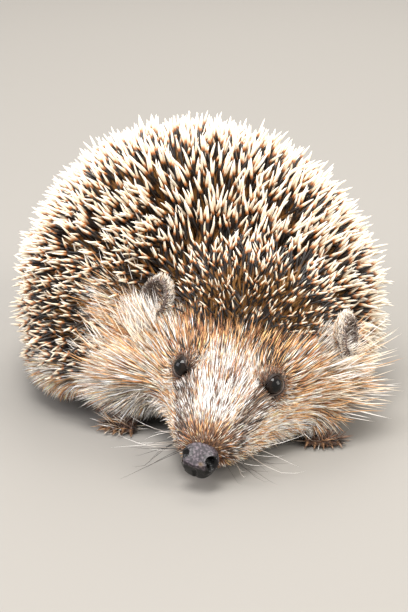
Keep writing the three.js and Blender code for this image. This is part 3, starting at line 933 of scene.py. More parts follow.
def scatter(obj, spacing, wanted, seed):
    """Roots about spacing mm apart on an object, with the skin's normals there; wanted is a chance for each place."""
    mesh = obj.data
    mesh.calc_loop_triangles()
    corners = np.empty(len(mesh.loop_triangles) * 3, dtype=np.int32)
    mesh.loop_triangles.foreach_get("vertices", corners)
    corners = corners.reshape(-1, 3)
    points, point_normals = places(obj), normals(obj)
    triangle = points[corners]
    area = np.linalg.norm(np.cross(triangle[:, 1] - triangle[:, 0], triangle[:, 2] - triangle[:, 0]), axis=1) / 2
    worth = area * wanted(triangle.mean(axis=1))
    rng = np.random.default_rng(seed)
    count = int(TRIES * worth.sum() / (spacing * MM) ** 2)
    totals = np.cumsum(worth)
    chosen = np.minimum(np.searchsorted(totals, rng.random(count) * totals[-1]), len(totals) - 1)
    edge, split = np.sqrt(rng.random(count)), rng.random(count)
    weights = np.stack([1 - edge, edge * (1 - split), edge * split], axis=1)[:, :, None]
    roots = (triangle[chosen] * weights).sum(1)
    ups = unit((point_normals[corners[chosen]] * weights).sum(1))
    cell = np.floor((roots + 1.0) / (spacing * MM)).astype(np.int64)
    _, first = np.unique((cell[:, 0] * 100003 + cell[:, 1]) * 100003 + cell[:, 2], return_index=True)
    first.sort()
    return roots[first], ups[first], rng


# %% Stems
PATCH = 0.003  # how wide each stem's patch is in the map that is baked
BODY_MIDDLE = np.array([0.0, 0.0, 32.0]) * MM
FLOOR_CLEARANCE = 0.4 * MM  # a hair that would reach the floor bends to lie along it instead
FLOOR_BEND = 3.0 * MM  # where it starts to bend
PIECES = []  # the numbers of stems and of triangles in each piece of coat


def unwrap(points, round_head):
    """An unwrap of the skin: by angles round the middle of the head, or round and along the middle of the body."""
    if round_head:
        x, y, z = (to_head(points) - (0, 6, -6)).T
        return np.stack([np.arctan2(x, z), np.arctan2(y, np.hypot(x, z))], axis=1)
    x, y, z = (points - BODY_MIDDLE).T
    return np.stack([np.arctan2(x, z), y / (60 * MM)], axis=1)


def stem_faces(rings, sides):
    """The corners, the face starts and the patch places of one closed stem."""
    corners, starts, patch = [], [], []

    def face(*ring_and_side):
        starts.append(len(corners))
        for ring, side in ring_and_side:
            corners.append(rings * sides if ring == rings else ring * sides + side % sides)
            patch.append((side / sides, ring / rings))

    face(*((0, side) for side in reversed(range(sides))))
    for ring in range(rings - 1):
        for side in range(sides):
            face((ring, side), (ring, side + 1), (ring + 1, side + 1), (ring + 1, side))
    for side in range(sides):
        face((rings - 1, side), (rings - 1, side + 1), (rings, side))
    return np.array(corners), np.array(starts), np.array(patch)


def grow(name, roots, ups, along, rng, length, radius, lean, colours, material, profile, sides=3, curl=0.35,
         turn=0.15, tip=1.0, sink=0.5, round_head=True, chance=None):
    """Builds one piece of coat from arrays and registers it. Lengths are in mm; lean is from the skin's normal."""
    count = len(roots)
    at = np.array([share for share, _ in profile])
    thick = np.array([share for _, share in profile])
    rings = len(profile)
    spin = turn * np.clip(rng.normal(0, 1, (count, 1)), -1.6, 1.6)  # none turns right round against the lie
    side_way = np.cross(ups, along)
    ahead = along * np.cos(spin) + side_way * np.sin(spin)
    side_way = np.cross(ups, ahead)
    middle = roots - ups * sink * MM
    middles, directions = [], []
    previous = 0.0
    for place in [*at, tip]:
        angle = (lean + curl * ((place + previous) / 2 - 0.5))[:, None]
        middle = middle + (ups * np.cos(angle) + ahead * np.sin(angle)) * (length[:, None] * (place - previous) * MM)
        angle_here = (lean + curl * (place - 0.5))[:, None]
        below = np.exp(np.minimum(0, (middle[:, 2] - FLOOR_BEND) / (FLOOR_BEND - FLOOR_CLEARANCE)))
        middle[:, 2] = np.maximum(middle[:, 2], FLOOR_CLEARANCE + (FLOOR_BEND - FLOOR_CLEARANCE) * below)
        middles.append(middle)
        directions.append(ups * np.cos(angle_here) + ahead * np.sin(angle_here))
        previous = place
    round_angle = 2 * math.pi * (np.arange(sides)[None] / sides + rng.random((count, 1)))
    points = np.empty((count, rings * sides + 1, 3))
    for ring in range(rings):
        over = np.cross(directions[ring], side_way)
        wide = (radius * thick[ring] * MM)[:, None, None]
        circle = np.cos(round_angle)[:, :, None] * side_way[:, None]
        circle += np.sin(round_angle)[:, :, None] * over[:, None]
        points[:, ring * sides : (ring + 1) * sides] = middles[ring][:, None] + circle * wide
    points[:, -1] = middles[-1]

    corners, starts, patch = stem_faces(rings, sides)
    stems = np.arange(count)[:, None]
    mesh = bpy.data.meshes.new(name)
    mesh.vertices.add(points.shape[0] * points.shape[1])
    mesh.vertices.foreach_set("co", points.ravel())
    mesh.loops.add(count * len(corners))
    mesh.loops.foreach_set("vertex_index", (corners + stems * points.shape[1]).ravel())
    mesh.polygons.add(count * len(starts))
    mesh.polygons.foreach_set("loop_start", (starts + stems * len(corners)).ravel())
    mesh.polygons.foreach_set("use_smooth", np.ones(count * len(starts), dtype=bool))
    mesh.update(calc_edges=True)

    spread = unwrap(roots, round_head)
    spread = (spread - spread.min(0)) / np.maximum(np.ptp(spread, axis=0), 1e-9) * (1 - 2 * PATCH)
    bake_map = mesh.uv_layers.new(name="OFBake")
    bake_map.data.foreach_set("uv", (spread[:, None] + PATCH * (0.5 + patch[None])).ravel())

    set_attribute(mesh, "up_stem", np.tile(np.append(np.repeat(at, sides), tip), count))
    chance = rng.random(count) if chance is None else chance
    set_attribute(mesh, "chance", np.repeat(chance, points.shape[1]))
    set_attribute(mesh, "tint", np.repeat(colours, points.shape[1], axis=0))
    mesh.materials.append(material)
    piece = new_object(name, mesh)
    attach(piece, "root")
    triangles = count * (sum(np.diff([*starts, len(corners)])) - 2 * len(starts))
    PIECES.append((count, triangles))
    print(f"{name}: {count} stems, {triangles} triangles")


print("a hair of 3 rings has", len(stem_faces(3, 3)[1]), "faces, and a spine of 5 rings", len(stem_faces(5, 6)[1]))

# %% [markdown]
# ## Hair and horn
# Hair and spines are keratin. A hair is dull near its root, where other hairs shade it, and brighter at its tip. A
# spine is thicker and glossier, and banded: pale at the root, then nearly black, a thin brown edge, and a cream tip.

# %% Coat materials
HAIR_IOR = 1.55  # keratin


def guard_hair(name, root_shade, roughness):
    """Keratin hair, grown: its own colour, shaded at the root, a little uneven along its length."""
    material = new_material(name)
    up_stem = add_node(material, "ShaderNodeAttribute", {"attribute_name": "up_stem"})
    tint = add_node(material, "ShaderNodeAttribute", {"attribute_name": "tint"})
    shade = add_node(material, "ShaderNodeValToRGB", links={"Fac": up_stem.outputs["Fac"]})
    grey = [(place, (value, value * warm, value * warm * warm, 1.0)) for place, value, warm in root_shade]
    set_ramp(shade, grey)
    place = add_node(material, "ShaderNodeTexCoord")
    uneven = add_node(
        material, "ShaderNodeTexNoise", inputs={"Scale": 1 / (1.3 * MM), "Detail": 1.0},
        links={"Vector": place.outputs["Object"]},
    )
    patchy = add_node(
        material, "ShaderNodeMapRange", inputs={"From Min": 0.3, "From Max": 0.7, "To Min": 0.82, "To Max": 1.1},
        links={"Value": uneven.outputs["Fac"]},
    )
    shaded = add_node(
        material, "ShaderNodeMix", {"data_type": "RGBA", "blend_type": "MULTIPLY"}, {0: 1.0},
        {6: tint.outputs["Color"], 7: shade.outputs["Color"]},
    )
    coloured = add_node(
        material, "ShaderNodeVectorMath", {"operation": "SCALE"},
        links={0: shaded.outputs[2], "Scale": patchy.outputs["Result"]},
    )
    shader = add_node(
        material, "ShaderNodeBsdfPrincipled", inputs={"Roughness": roughness, "IOR": HAIR_IOR},
        links={"Base Color": coloured.outputs[0]},
    )
    add_node(material, "ShaderNodeOutputMaterial", links={"Surface": shader.outputs[0]})
    return material


face_hair = guard_hair("keratin_face_hair", [(0.0, 0.14, 0.75), (0.3, 0.46, 0.88), (0.6, 1.0, 1.0)], 0.42)
body_hair = guard_hair("keratin_body_hair", [(0.0, 0.3, 0.85), (0.4, 0.75, 0.95), (0.7, 1.0, 1.0)], 0.5)


def banded_spine():
    """Keratin spine, grown in bands; the tip is smooth and glossy, as worn horn is."""
    material = new_material("banded_keratin_spine")
    up_stem = add_node(material, "ShaderNodeAttribute", {"attribute_name": "up_stem"})
    chance = add_node(material, "ShaderNodeAttribute", {"attribute_name": "chance"})
    tint = add_node(material, "ShaderNodeAttribute", {"attribute_name": "tint"})
    shift = add_node(
        material, "ShaderNodeMapRange", inputs={"To Min": -0.07, "To Max": 0.14},
        links={"Value": chance.outputs["Fac"]},
    )
    shifted = add_node(
        material, "ShaderNodeMath", {"operation": "ADD"}, links={0: up_stem.outputs["Fac"], 1: shift.outputs["Result"]}
    )
    bands = add_node(material, "ShaderNodeValToRGB", links={"Fac": shifted.outputs[0]})
    set_ramp(bands, [
        (0.0, linear("#5a4028")), (0.28, linear("#b4874f")), (0.46, linear("#966838")), (0.56, linear("#241912")),
        (0.76, linear("#181312")), (0.81, linear("#b06a2e")), (0.86, linear("#f2dfc0")), (1.0, linear("#fff8ec")),
    ])
    worn = add_node(
        material, "ShaderNodeMix", {"data_type": "RGBA", "blend_type": "MULTIPLY"}, {0: 1.0},
        {6: bands.outputs["Color"], 7: tint.outputs["Color"]},
    )
    shader = add_node(
        material, "ShaderNodeBsdfPrincipled", inputs={"Roughness": 0.32, "IOR": HAIR_IOR},
        links={"Base Color": worn.outputs[2]},
    )
    add_node(material, "ShaderNodeOutputMaterial", links={"Surface": shader.outputs[0]})
    return material


spine_material = banded_spine()
print("coat materials:", face_hair.name, body_hair.name, spine_material.name)

# %% [markdown]
# ## Spines
# Nearly seven thousand, each 22 mm long on the back and half of that on the brow. They lean back but cross each other,
# because small muscles set neighbouring spines at different angles.

# %% Grow the spines
SPINE_SPACING = 2.22
SPINE_PROFILE = [(0.0, 0.55), (0.3, 0.9), (0.62, 1.0), (0.84, 0.9), (0.94, 0.5)]
SPINE_AREAS = {  # a chance for each place, by how far behind the eyes it is, in mm
    "spines_crown": (-99, 52), "spines_shoulders": (52, 88), "spines_back": (88, 122), "spines_rump": (122, 999),
}
EAR_CLEARANCE = 7.5
ear_middles = {side: middle_of("ear_" + side) for side in SIDES}


def clear_of_ears(points, distance=EAR_CLEARANCE):
    chance = np.ones(len(points))
    for middle in ear_middles.values():
        chance *= np.linalg.norm(points - middle, axis=1) > distance * MM
    return chance


def grow_spines(name, front, rear, seed):
    def wanted(points):
        behind = to_head(points)[:, 1]
        return (spiny(points, 1.5) > 0.4) * ((behind >= front) & (behind < rear)) * clear_of_ears(points)

    head_part = rear < 60
    roots, ups, rng = scatter(ground, SPINE_SPACING * (0.86 if head_part else 1.0), wanted, seed)
    behind = np.maximum(to_head(roots)[:, 1], 32 * on_flank(roots))
    depth = to_outer_form(roots) + 0.5
    length = blend_between(behind, 8, 50, 12.5, 21.5) * rng.uniform(0.86, 1.08, len(roots))
    length *= blend_between(above_skirt(roots), 0, 14, 0.7, 1.0)
    lean = np.arccos(np.clip(depth / length, 0.2, 0.9)) + rng.normal(0, 0.2, len(roots))
    along = lie(roots, ups)
    brightness_by_height = blend_between(roots[:, 2] / MM, 15, 60, 0.68, 0.95)  # the spines are darker lower down
    tint = np.clip(rng.normal(brightness_by_height, 0.08), 0.4, 1.1)[:, None] * np.array([1.0, 0.985, 0.96])
    radius = blend_between(behind, 8, 50, 0.34, 0.56) * rng.uniform(0.85, 1.1, len(roots))
    pale = blend_between(behind, 20, 70, 0.0, 0.5) + 0.5 * rng.random(len(roots))
    inside = step_between(spiny(roots, 9.0), 0.55, 1.0)  # the spines at the coat's edge cross the least
    turn = (0.18 + inside * np.interp(behind, [26, 60], [0.52, 0.34]))[:, None]
    reach = ups * np.cos(lean)[:, None] + along * np.sin(lean)[:, None]
    free = clear_of_ears(roots + reach * (0.55 * MM * length)[:, None], 8.0) > 0
    grow(name, roots[free], ups[free], along[free], rng, length[free], radius[free], lean[free], tint[free],
         spine_material, SPINE_PROFILE, sides=6, curl=0.12, turn=turn[free], sink=1.0, round_head=head_part,
         chance=pale[free])


for seed, (name, ends) in enumerate(SPINE_AREAS.items(), start=11):
    grow_spines(name, *ends, seed)

# %% [markdown]
# ## Face fur
# The shortest hair is at the nose and round the eyes, and it grows longer and coarser towards the cheeks. It lies
# nearly flat, and each hair stands just high enough for its tip to reach the coat's outer form.

# %% Grow the face fur
FACE_SPACING = 0.5
BROW_THINNER, BROW_COARSER = 0.5, 0.3  # by what share the brow's hairs are fewer, and thicker, than the others
HAIR_PROFILE = [(0.0, 0.8), (0.35, 1.0), (0.75, 0.62)]
WHISKER_PROFILE = [(0.0, 1.0), (0.2, 0.95), (0.4, 0.8), (0.6, 0.62), (0.8, 0.4)]


def ear_axes(side):
    """An ear's middle, in metres, and three directions: across it, up it and out of its cup."""
    points = places(ears[side])
    middle = points.mean(0)
    _, directions = np.linalg.eigh(np.cov((points - middle).T))
    opening, _, tall = directions.T
    opening = opening * np.sign(opening @ (SIDES[side] * head_x - head_y))
    tall = tall * np.sign(tall[2])
    return middle, np.stack([np.cross(tall, opening), tall, opening])


EAR_AXES = {side: ear_axes(side) for side in SIDES}
EAR_RADII = (6.5, 8.3, 4.6)


def in_ear(points, side):
    """Places in an ear's own axes, in millimetres: across, up and out of the cup."""
    middle, axes = EAR_AXES[side]
    return (points - middle) @ axes.T / MM


def within_ear(points, side):
    return np.linalg.norm(in_ear(points, side) / EAR_RADII, axis=1) < 1


def eye_distance(points):
    return np.min([away_from(points, middle) for middle in eye_middles.values()], axis=0)


def face_area(points):
    """1 on the face and cheeks, and 0 where spines or the body's fur begin, on the nose, the eyes and the ears."""
    across, behind, up = to_head(points).T
    out = np.abs(across)
    off_nose = np.linalg.norm((to_head(points) - to_head(nose_point)) / (1.02, 1.0, 1.02), axis=1) > 5.0
    open_eye = np.zeros(len(points), dtype=bool)
    for side in SIDES:
        out_of_eye = np.array(eye_axes(side)[2])
        from_middle = points - eye_middles[side]
        height = from_middle @ out_of_eye
        sideways = np.linalg.norm(from_middle - height[:, None] * out_of_eye, axis=1)
        open_eye |= (sideways < 3.6 * MM) & (height > 0)
    on_ear = np.max([within_ear(points, side) for side in SIDES], axis=0)
    on_foot = near_legs(points, 9, 10)
    return (1 - on_body(points)) * (1 - spiny(points, 4.0)) * off_nose * ~open_eye * (1 - on_ear) * (1 - on_foot)


def floor_gap(points):
    """How far above the floor the coat ends, in millimetres: highest over the right forefoot, which is set back."""
    return 4 + 6 * mound(from_leg(points, "forefoot_right"), 8, 24)


def low_on_face(points):
    return step_between(-to_head(points)[:, 2], 12, 20)


def face_length(points):
    from_nose = away_from(points, nose_point)
    out = np.abs(to_head(points)[:, 0])
    length = np.interp(from_nose, [5, 12, 22, 34, 50], [1.8, 3.4, 5.4, 7.6, 9.5])
    length = blend_between(out, 16, 30, length, 13.0)
    length = length + low_on_face(points) * np.interp(from_nose, [6, 14, 30, 40], [0.5, 3.0, 4.0, 7.0])
    length = np.minimum(length, np.maximum(2.0, points[:, 2] / MM + 7 - floor_gap(points)))
    from_ear = np.min([away_from(points, middle) for middle in ear_middles.values()], axis=0)
    length = blend_between(from_ear, 9, 15, np.minimum(length, 6.5), length)
    return blend_between(eye_distance(points), 4.0, 10.0, np.minimum(length, 2.0), length)


def on_brow(points):
    across, behind, _ = to_head(points).T
    return step_between(behind, -2, 7) * mound(np.abs(across), 15, 24)


def grow_face(name, front, rear, side, seed):
    """The brow's hairs are fewer and coarser than the others, with the dark skin showing between them."""
    def wanted(points):
        across, behind, _ = to_head(points).T
        part = (behind >= front) & (behind < rear) & (across * side >= 0)
        return face_area(points) * part * (1 - BROW_THINNER * on_brow(points))

    roots, ups, rng = scatter(skin, FACE_SPACING, wanted, seed)
    length = face_length(roots) * rng.uniform(0.75, 1.15, len(roots))
    depth = to_outer_form(roots) * rng.uniform(0.6, 1.3, len(roots))
    lean = np.arccos(np.clip(depth / length, 0.12, 0.8)) - 0.4 * low_on_face(roots) * rng.random(len(roots))
    radius = np.interp(length, [1.5, 5, 12], [0.1, 0.155, 0.2]) * rng.uniform(0.75, 1.2, len(roots))
    radius = radius * (1 + BROW_COARSER * on_brow(roots))
    grow(name, roots, ups, lie(roots, ups), rng, length, radius, lean, draw_colours(roots, rng), face_hair,
         HAIR_PROFILE, curl=0.3, turn=0.11, sink=0.3)


FACE_PARTS = {  # from and to how far behind the eyes, in mm, and the side: -1 right, 1 left, 0 both
    "fur_muzzle": (-99, -8, 0), "fur_face_right": (-8, 12, -1), "fur_face_left": (-8, 12, 1),
    "fur_cheek_right": (12, 99, -1), "fur_cheek_left": (12, 99, 1),
}


for seed, (name, part) in enumerate(FACE_PARTS.items(), start=71):
    grow_face(name, *part, seed)

# %% [markdown]
# ## Hair round the eyes
# The hair next to a hedgehog's lids is the shortest on its body, and dark, so each eye seems set in a dark ring. Hair
# of the face's own spacing would leave bare skin there, so this is a piece of its own, finer and closer.

# %% Hair round the eyes
EYE_HAIR_SPACING = 0.37


def grow_eye_hair():
    """The shortest hair of the face, close and dark, from the lids' edges outwards."""
    roots, ups, rng = scatter(
        skin, EYE_HAIR_SPACING, lambda points: face_area(points) * mound(eye_distance(points), 5.5, 8), 25
    )
    length = blend_between(eye_distance(roots), 4, 8, 1.3, 2.8) * rng.uniform(0.7, 1.2, len(roots))
    grow("fur_eyes", roots, ups, lie(roots, ups), rng, length, rng.uniform(0.07, 0.12, len(roots)),
         rng.normal(1.1, 0.12, len(roots)), draw_colours(roots, rng), face_hair, HAIR_PROFILE, curl=0.3,
         turn=0.15, sink=0.2)


grow_eye_hair()

# %% [markdown]
# ## Chin fringe
# Sandy hairs stick out below the muzzle and along the jaw, and break its outline. The flat hair of the face could be
# made longer there, but it would cover the jaw's edge, so a few hairs that stand out more are added to it.

# %% Chin fringe
CHIN_SPACING = 1.1


def chin_area(points):
    """1 low on the sides of the muzzle and along the jaw."""
    across, behind, up = to_head(points).T
    return step_between(-up, 13, 16) * step_between(behind, -28, -24) * mound(behind, 2, 8)


def grow_chin():
    """Sparse sandy hairs that stick out below the muzzle and the jaw."""
    roots, ups, rng = scatter(skin, CHIN_SPACING, chin_area, 24)
    along = unit(lie(roots, ups) + 0.8 * np.array([0, 0, -1.0]))
    along = along_skin(along, ups)
    length = np.interp(to_head(roots)[:, 1], [-28, -18, 0], [2.4, 4.4, 7.0]) * rng.uniform(0.7, 1.2, len(roots))
    colours = HAIR_COLOURS[rng.choice([0, 1, 2, 4], len(roots), p=[0.3, 0.35, 0.2, 0.15])]
    grow("fur_chin", roots, ups, along, rng, length, rng.uniform(0.09, 0.15, len(roots)),
         rng.normal(0.75, 0.15, len(roots)), colours, face_hair, HAIR_PROFILE, curl=0.5, turn=0.25, sink=0.3)


grow_chin()

# %% [markdown]
# ## Body fur
# Long coarse hair hangs below the spines as a skirt round the flanks, and covers the throat, chest and belly. It is
# longest beside the cheeks, where it runs out to the sides with fine pale spines among it.

# %% Grow the body fur
BODY_SPACING = 0.91
BODY_AREAS = {  # from and to how far behind the eyes, in mm, and the side: -1 right, 1 left
    "fur_front_right": (-99, 62, -1), "fur_front_left": (-99, 62, 1),
    "fur_rear_right": (62, 999, -1), "fur_rear_left": (62, 999, 1),
}


def grow_body(name, front, rear, side, seed):
    def wanted(points):
        across, behind, _ = to_head(points).T
        here = (behind >= front) & (behind < rear) & (np.sign(points[:, 0]) == side)
        leg = near_legs(points, 8, 10)
        seen = blend_between(points[:, 2] / MM, 5, 9, 0.12, 1.0)  # the belly, against the floor, is nearly bare
        return seen * here * (1 - spiny(points, 4.0)) * on_body(points) * (1 - leg) * clear_of_ears(points, 6)

    spacing = BODY_SPACING * (0.85 if rear < 100 else 1.0)
    roots, ups, rng = scatter(ground, spacing, wanted, seed)
    height = roots[:, 2] / MM
    near_leg = np.min([from_leg(roots, foot_name) for foot_name in STANCE], axis=0)
    length = blend_between(height, 4, 16, 8.5, 17.0) * rng.uniform(0.7, 1.15, len(roots))
    length = blend_between(near_leg, 9, 20, np.minimum(length, 3.0), length)
    length = np.minimum(length, np.maximum(2.0, 1.1 * (height - floor_gap(roots))))
    depth = to_outer_form(roots) * rng.uniform(0.6, 1.3, len(roots))
    lean = np.arccos(np.clip(depth / length, 0.15, 0.8))
    radius = blend_between(height, 4, 16, 0.16, 0.22) * rng.uniform(0.8, 1.2, len(roots))
    grow(name, roots, ups, lie(roots, ups), rng, length, radius, lean, draw_colours(roots, rng), body_hair,
         HAIR_PROFILE, curl=0.4, turn=0.2, sink=0.5, round_head=False)


for seed, (name, area) in enumerate(BODY_AREAS.items(), start=31):
    grow_body(name, *area, seed)

# %% [markdown]
# ## Ear hair
# An ear is edged with a pale fuzz, and dark and short-haired inside. The hairs could follow the coat's own lie, but on
# a thin cup they have to point out from its middle, so they are laid in the ear's own axes.

# %% Ear hair
EAR_SPACING = 0.42
EAR_HALF = (5.9, 7.7)


def grow_ear_hair(side, seed):
    _, axes = EAR_AXES[side]
    roots, ups, rng = scatter(ears[side], EAR_SPACING, lambda points: in_ear(points, side)[:, 1] > -6.5, seed)
    across, tall, _ = in_ear(roots, side).T
    faces_out = ups @ axes[2]
    edge = np.hypot(across / EAR_HALF[0], tall / EAR_HALF[1])
    rim = step_between(edge, 0.8, 0.95)
    inside = (faces_out > 0) * (1 - rim)
    along = unit((across[:, None] * axes[0] + (tall[:, None] + 3) * axes[1]))
    along = along_skin(along, ups)
    length = (1.1 + 0.5 * rim + 0.6 * (faces_out < 0)) * rng.uniform(0.7, 1.3, len(roots))
    length *= np.where((inside > 0.5) & (rng.random(len(roots)) < 0.06), 3.0, 1.0)
    mix = np.tile(shares(cream=0.5, white=0.2, ginger=0.3), (len(roots), 1))
    mix = lay(mix, rim, shares(white=0.6, cream=0.4))
    mix = lay(mix, inside, shares(grey=0.6, dark=0.24, white=0.16))
    colours = draw(mix, rng)
    lean = np.where(rim > 0.5, 0.9, 1.1) + rng.normal(0, 0.15, len(roots))
    grow("fur_ear_" + side, roots, ups, along, rng, length, np.full(len(roots), 0.1), lean,
         colours, face_hair, HAIR_PROFILE, curl=0.3, turn=0.3, sink=0.15)


for seed, side in enumerate(SIDES, start=41):
    grow_ear_hair(side, seed)

# %% [markdown]
# ## Locks before the ears
# Long white hairs start before each ear and sweep up over the lower part of its cup. They cross the lie of the fur
# round them, so each lock is a piece of its own, with its start and its sweep given in the ear's axes.

# %% Locks before the ears
LOCK_SPACING = 0.65
LOCKS = {  # where each starts, from the ear's middle in its own axes in mm, and the way that it sweeps
    "right": ((3.0, -10.5, 2.5), (-0.55, 0.8, 0.2)), "left": ((-7.0, -5.0, 0.0), (0.75, 0.5, 0.3)),
}


def grow_lock(side, seed):
    """Long pale hairs that start before an ear and sweep up over the lower part of its cup."""
    middle, axes = EAR_AXES[side]
    start, sweep = LOCKS[side]
    skin_points = places(ground)
    base = skin_points[np.argmin(np.linalg.norm(skin_points - middle - start @ axes * MM, axis=1))]

    def wanted(points):
        return mound(away_from(points, base), 3.5, 7.0)

    roots, ups, rng = scatter(ground, LOCK_SPACING, wanted, seed)
    along = unit(np.tile(sweep @ axes, (len(roots), 1)) + 0.25 * lie(roots, ups))
    along = along_skin(along, ups)
    length = rng.uniform(8, 13, len(roots))
    colours = HAIR_COLOURS[np.where(rng.random(len(roots)) < 0.75, 0, 1)]
    grow("fur_lock_" + side, roots, ups, along, rng, length, np.full(len(roots), 0.13),
         rng.normal(0.8, 0.12, len(roots)), colours, face_hair, HAIR_PROFILE, curl=0.3, turn=0.25)


for seed, side in enumerate(SIDES, start=43):
    grow_lock(side, seed)

# %% [markdown]
# ## Ruff
# Between the cheeks and the spines stand pale hairs that are nearly as coarse and long as spines. They are few and
# point straight away from the nose, so that they overlap the first spines and hide where the two coats meet.

# %% Ruff
RUFF_SPACING = 2.0


def ruff_area(points):
    """1 beside and behind the cheeks, where the longest hairs start."""
    _, behind, up = to_head(points).T
    out = np.abs(to_head(points)[:, 0])
    beside = step_between(out, 22, 28) * mound(out, 44, 50) * step_between(behind, 8, 14) * mound(behind, 34, 40)
    return beside * (up > -16) * ((up < 0) | (out > 37)) * clear_of_ears(points, 9)


def grow_ruff(side, seed):
    """Long coarse pale hairs, nearly spines, that stand out over the first rows of spines."""
    roots, ups, rng = scatter(
        ground, RUFF_SPACING, lambda points: ruff_area(points) * (to_head(points)[:, 0] * SIDES[side] > 0), seed
    )
    length = rng.uniform(13, 20, len(roots))
    colours = HAIR_COLOURS[rng.choice([0, 1, 2], len(roots), p=[0.3, 0.42, 0.28])]
    grow("fur_ruff_" + side, roots, ups, unit(roots - nose_point), rng, length,
         rng.uniform(0.2, 0.34, len(roots)), rng.normal(0.75, 0.15, len(roots)), colours, face_hair,
         WHISKER_PROFILE, sides=4, curl=0.3, turn=0.3, sink=0.5)


for seed, side in enumerate(SIDES, start=45):
    grow_ruff(side, seed)

# %% [markdown]
# ## Leg hair
# The legs and the tops of the feet have short brown hair that lies down towards the toes. The body's fur could run on
# down them, but it is too long, so this piece has its own direction and grows shorter towards the toes.

# %% Leg hair
LEG_SPACING = 0.61


def foot_area(points):
    """1 on the tops of the feet behind the toes, and 0 elsewhere."""
    near = np.zeros(len(points))
    for size, (x, y), _, _ in STANCE.values():
        away = np.linalg.norm((points - np.array(from_drawing(x, y)))[:, :2], axis=1) / MM
        near = np.maximum(near, mound(away, size["half_length"] + 1, size["half_length"] + 4))
    return near * (points[:, 2] > 1.6 * MM) * (points[:, 2] < 9 * MM)


def leg_area(points):
    near = near_legs(points, 9.5, 11)
    return np.maximum(near * (points[:, 2] > 4 * MM), 0.7 * foot_area(points)) * (points[:, 2] < 24 * MM)


roots, ups, rng = scatter(skin, LEG_SPACING, leg_area, 51)
downwards = unit(np.tile([0.0, -0.55, -1.0], (len(roots), 1)))
downwards = along_skin(downwards, ups)
length = blend_between(roots[:, 2] / MM, 5, 12, 1.0, 4.6) * rng.uniform(0.7, 1.2, len(roots))
grow("fur_legs", roots, ups, downwards, rng, length, np.full(len(roots), 0.15),
     rng.normal(1.18, 0.07, len(roots)), draw_colours(roots, rng), body_hair, HAIR_PROFILE,
     round_head=False, sink=0.2)

# %% [markdown]
# ## Whiskers
# Stiff, thin, curved hairs on the sides of the muzzle and over the eyes. They are the longest hairs of the face.

# %% Whiskers
WHISKER_PAD = np.array([6.5, -21.0, -12.5])  # the middle of the pad, in the head's axes, on its left


def grow_whiskers(side, seed):
    sign = SIDES[side]

    def wanted(points):
        return np.linalg.norm((to_head(points) * (sign, 1, 1) - WHISKER_PAD) / (4, 6.5, 3.0), axis=1) < 1

    roots, ups, rng = scatter(skin, 2.1, wanted, seed)
    away = HEAD_AXES.T @ np.array([sign * 0.85, 0.1, -0.35])
    along = np.tile(away, (len(roots), 1)) + rng.normal(0, 0.25, (len(roots), 3))
    along = along_skin(along, ups)
    length = rng.uniform(12, 27, len(roots))
    colours = HAIR_COLOURS[np.where(rng.random(len(roots)) < 0.5, 0, 5)]
    grow("whiskers_" + side, roots, ups, along, rng, length, np.full(len(roots), 0.085),
         rng.normal(0.85, 0.15, len(roots)), colours, face_hair, WHISKER_PROFILE, sides=4, curl=0.75, turn=0.3)


for seed, side in enumerate(SIDES, start=61):
    grow_whiskers(side, seed)

# %% [markdown]
# ## The skin's finish
# A hedgehog's skin is thin, grey-brown and finely creased. It shows bare at the lids, ears and feet, and as a dark
# ground between the hairs. It could be painted on an image; here each of its points takes the mean of the coat's own
# markings, darkened partly for the skin's own tone and partly as painted shade between the hairs, so that skin and
# coat always agree.

# %% Finish the skin


def skin_material():
    """Thin skin: dark where the coat covers it, partly its own tone and partly painted shade, finely creased, and
    duller than a wet nose.
    """
    material = new_material("thin_pigmented_skin")
    marking_and_shade = add_node(material, "ShaderNodeAttribute", {"attribute_name": "marking_and_shade"})
    place = add_node(material, "ShaderNodeTexCoord")
    mottle = add_node(
        material, "ShaderNodeTexNoise", inputs={"Scale": 1 / (2.5 * MM), "Detail": 3.0},
        links={"Vector": place.outputs["Object"]},
    )
    level = add_node(
        material, "ShaderNodeMapRange", inputs={"From Min": 0.3, "From Max": 0.7, "To Min": 0.75, "To Max": 1.2},
        links={"Value": mottle.outputs["Fac"]},
    )
    mottled = add_node(
        material, "ShaderNodeVectorMath", {"operation": "SCALE"},
        links={0: marking_and_shade.outputs["Color"], "Scale": level.outputs["Result"]},
    )
    creases = add_node(
        material, "ShaderNodeTexVoronoi", {"feature": "DISTANCE_TO_EDGE"}, {"Scale": 1 / (0.8 * MM)},
        {"Vector": place.outputs["Object"]},
    )
    relief = add_node(
        material, "ShaderNodeBump", inputs={"Strength": 0.35, "Distance": 0.15 * MM},
        links={"Height": creases.outputs["Distance"]},
    )
    shader = add_node(
        material, "ShaderNodeBsdfPrincipled", inputs={"Roughness": 0.55},
        links={"Base Color": mottled.outputs[0], "Normal": relief.outputs["Normal"]},
    )
    add_node(material, "ShaderNodeOutputMaterial", links={"Surface": shader.outputs[0]})
    return material


BARE = {"foot": linear("#7a5d50")[:3], "ear": linear("#6a5a55")[:3], "lid": linear("#241813")[:3],
        "lid_edge": linear("#75645a")[:3]}
SKIN_AND_SHADE_UNDER_COAT = 0.22  # how bright the covered skin is beside the hair above it: its own darker tone and painted shade between the hairs
# the skin between the spines: its own dark grey-brown, made deeper as painted shade in the gaps
SKIN_AND_SHADE_UNDER_SPINES = np.array(linear("#3a2c22")[:3])


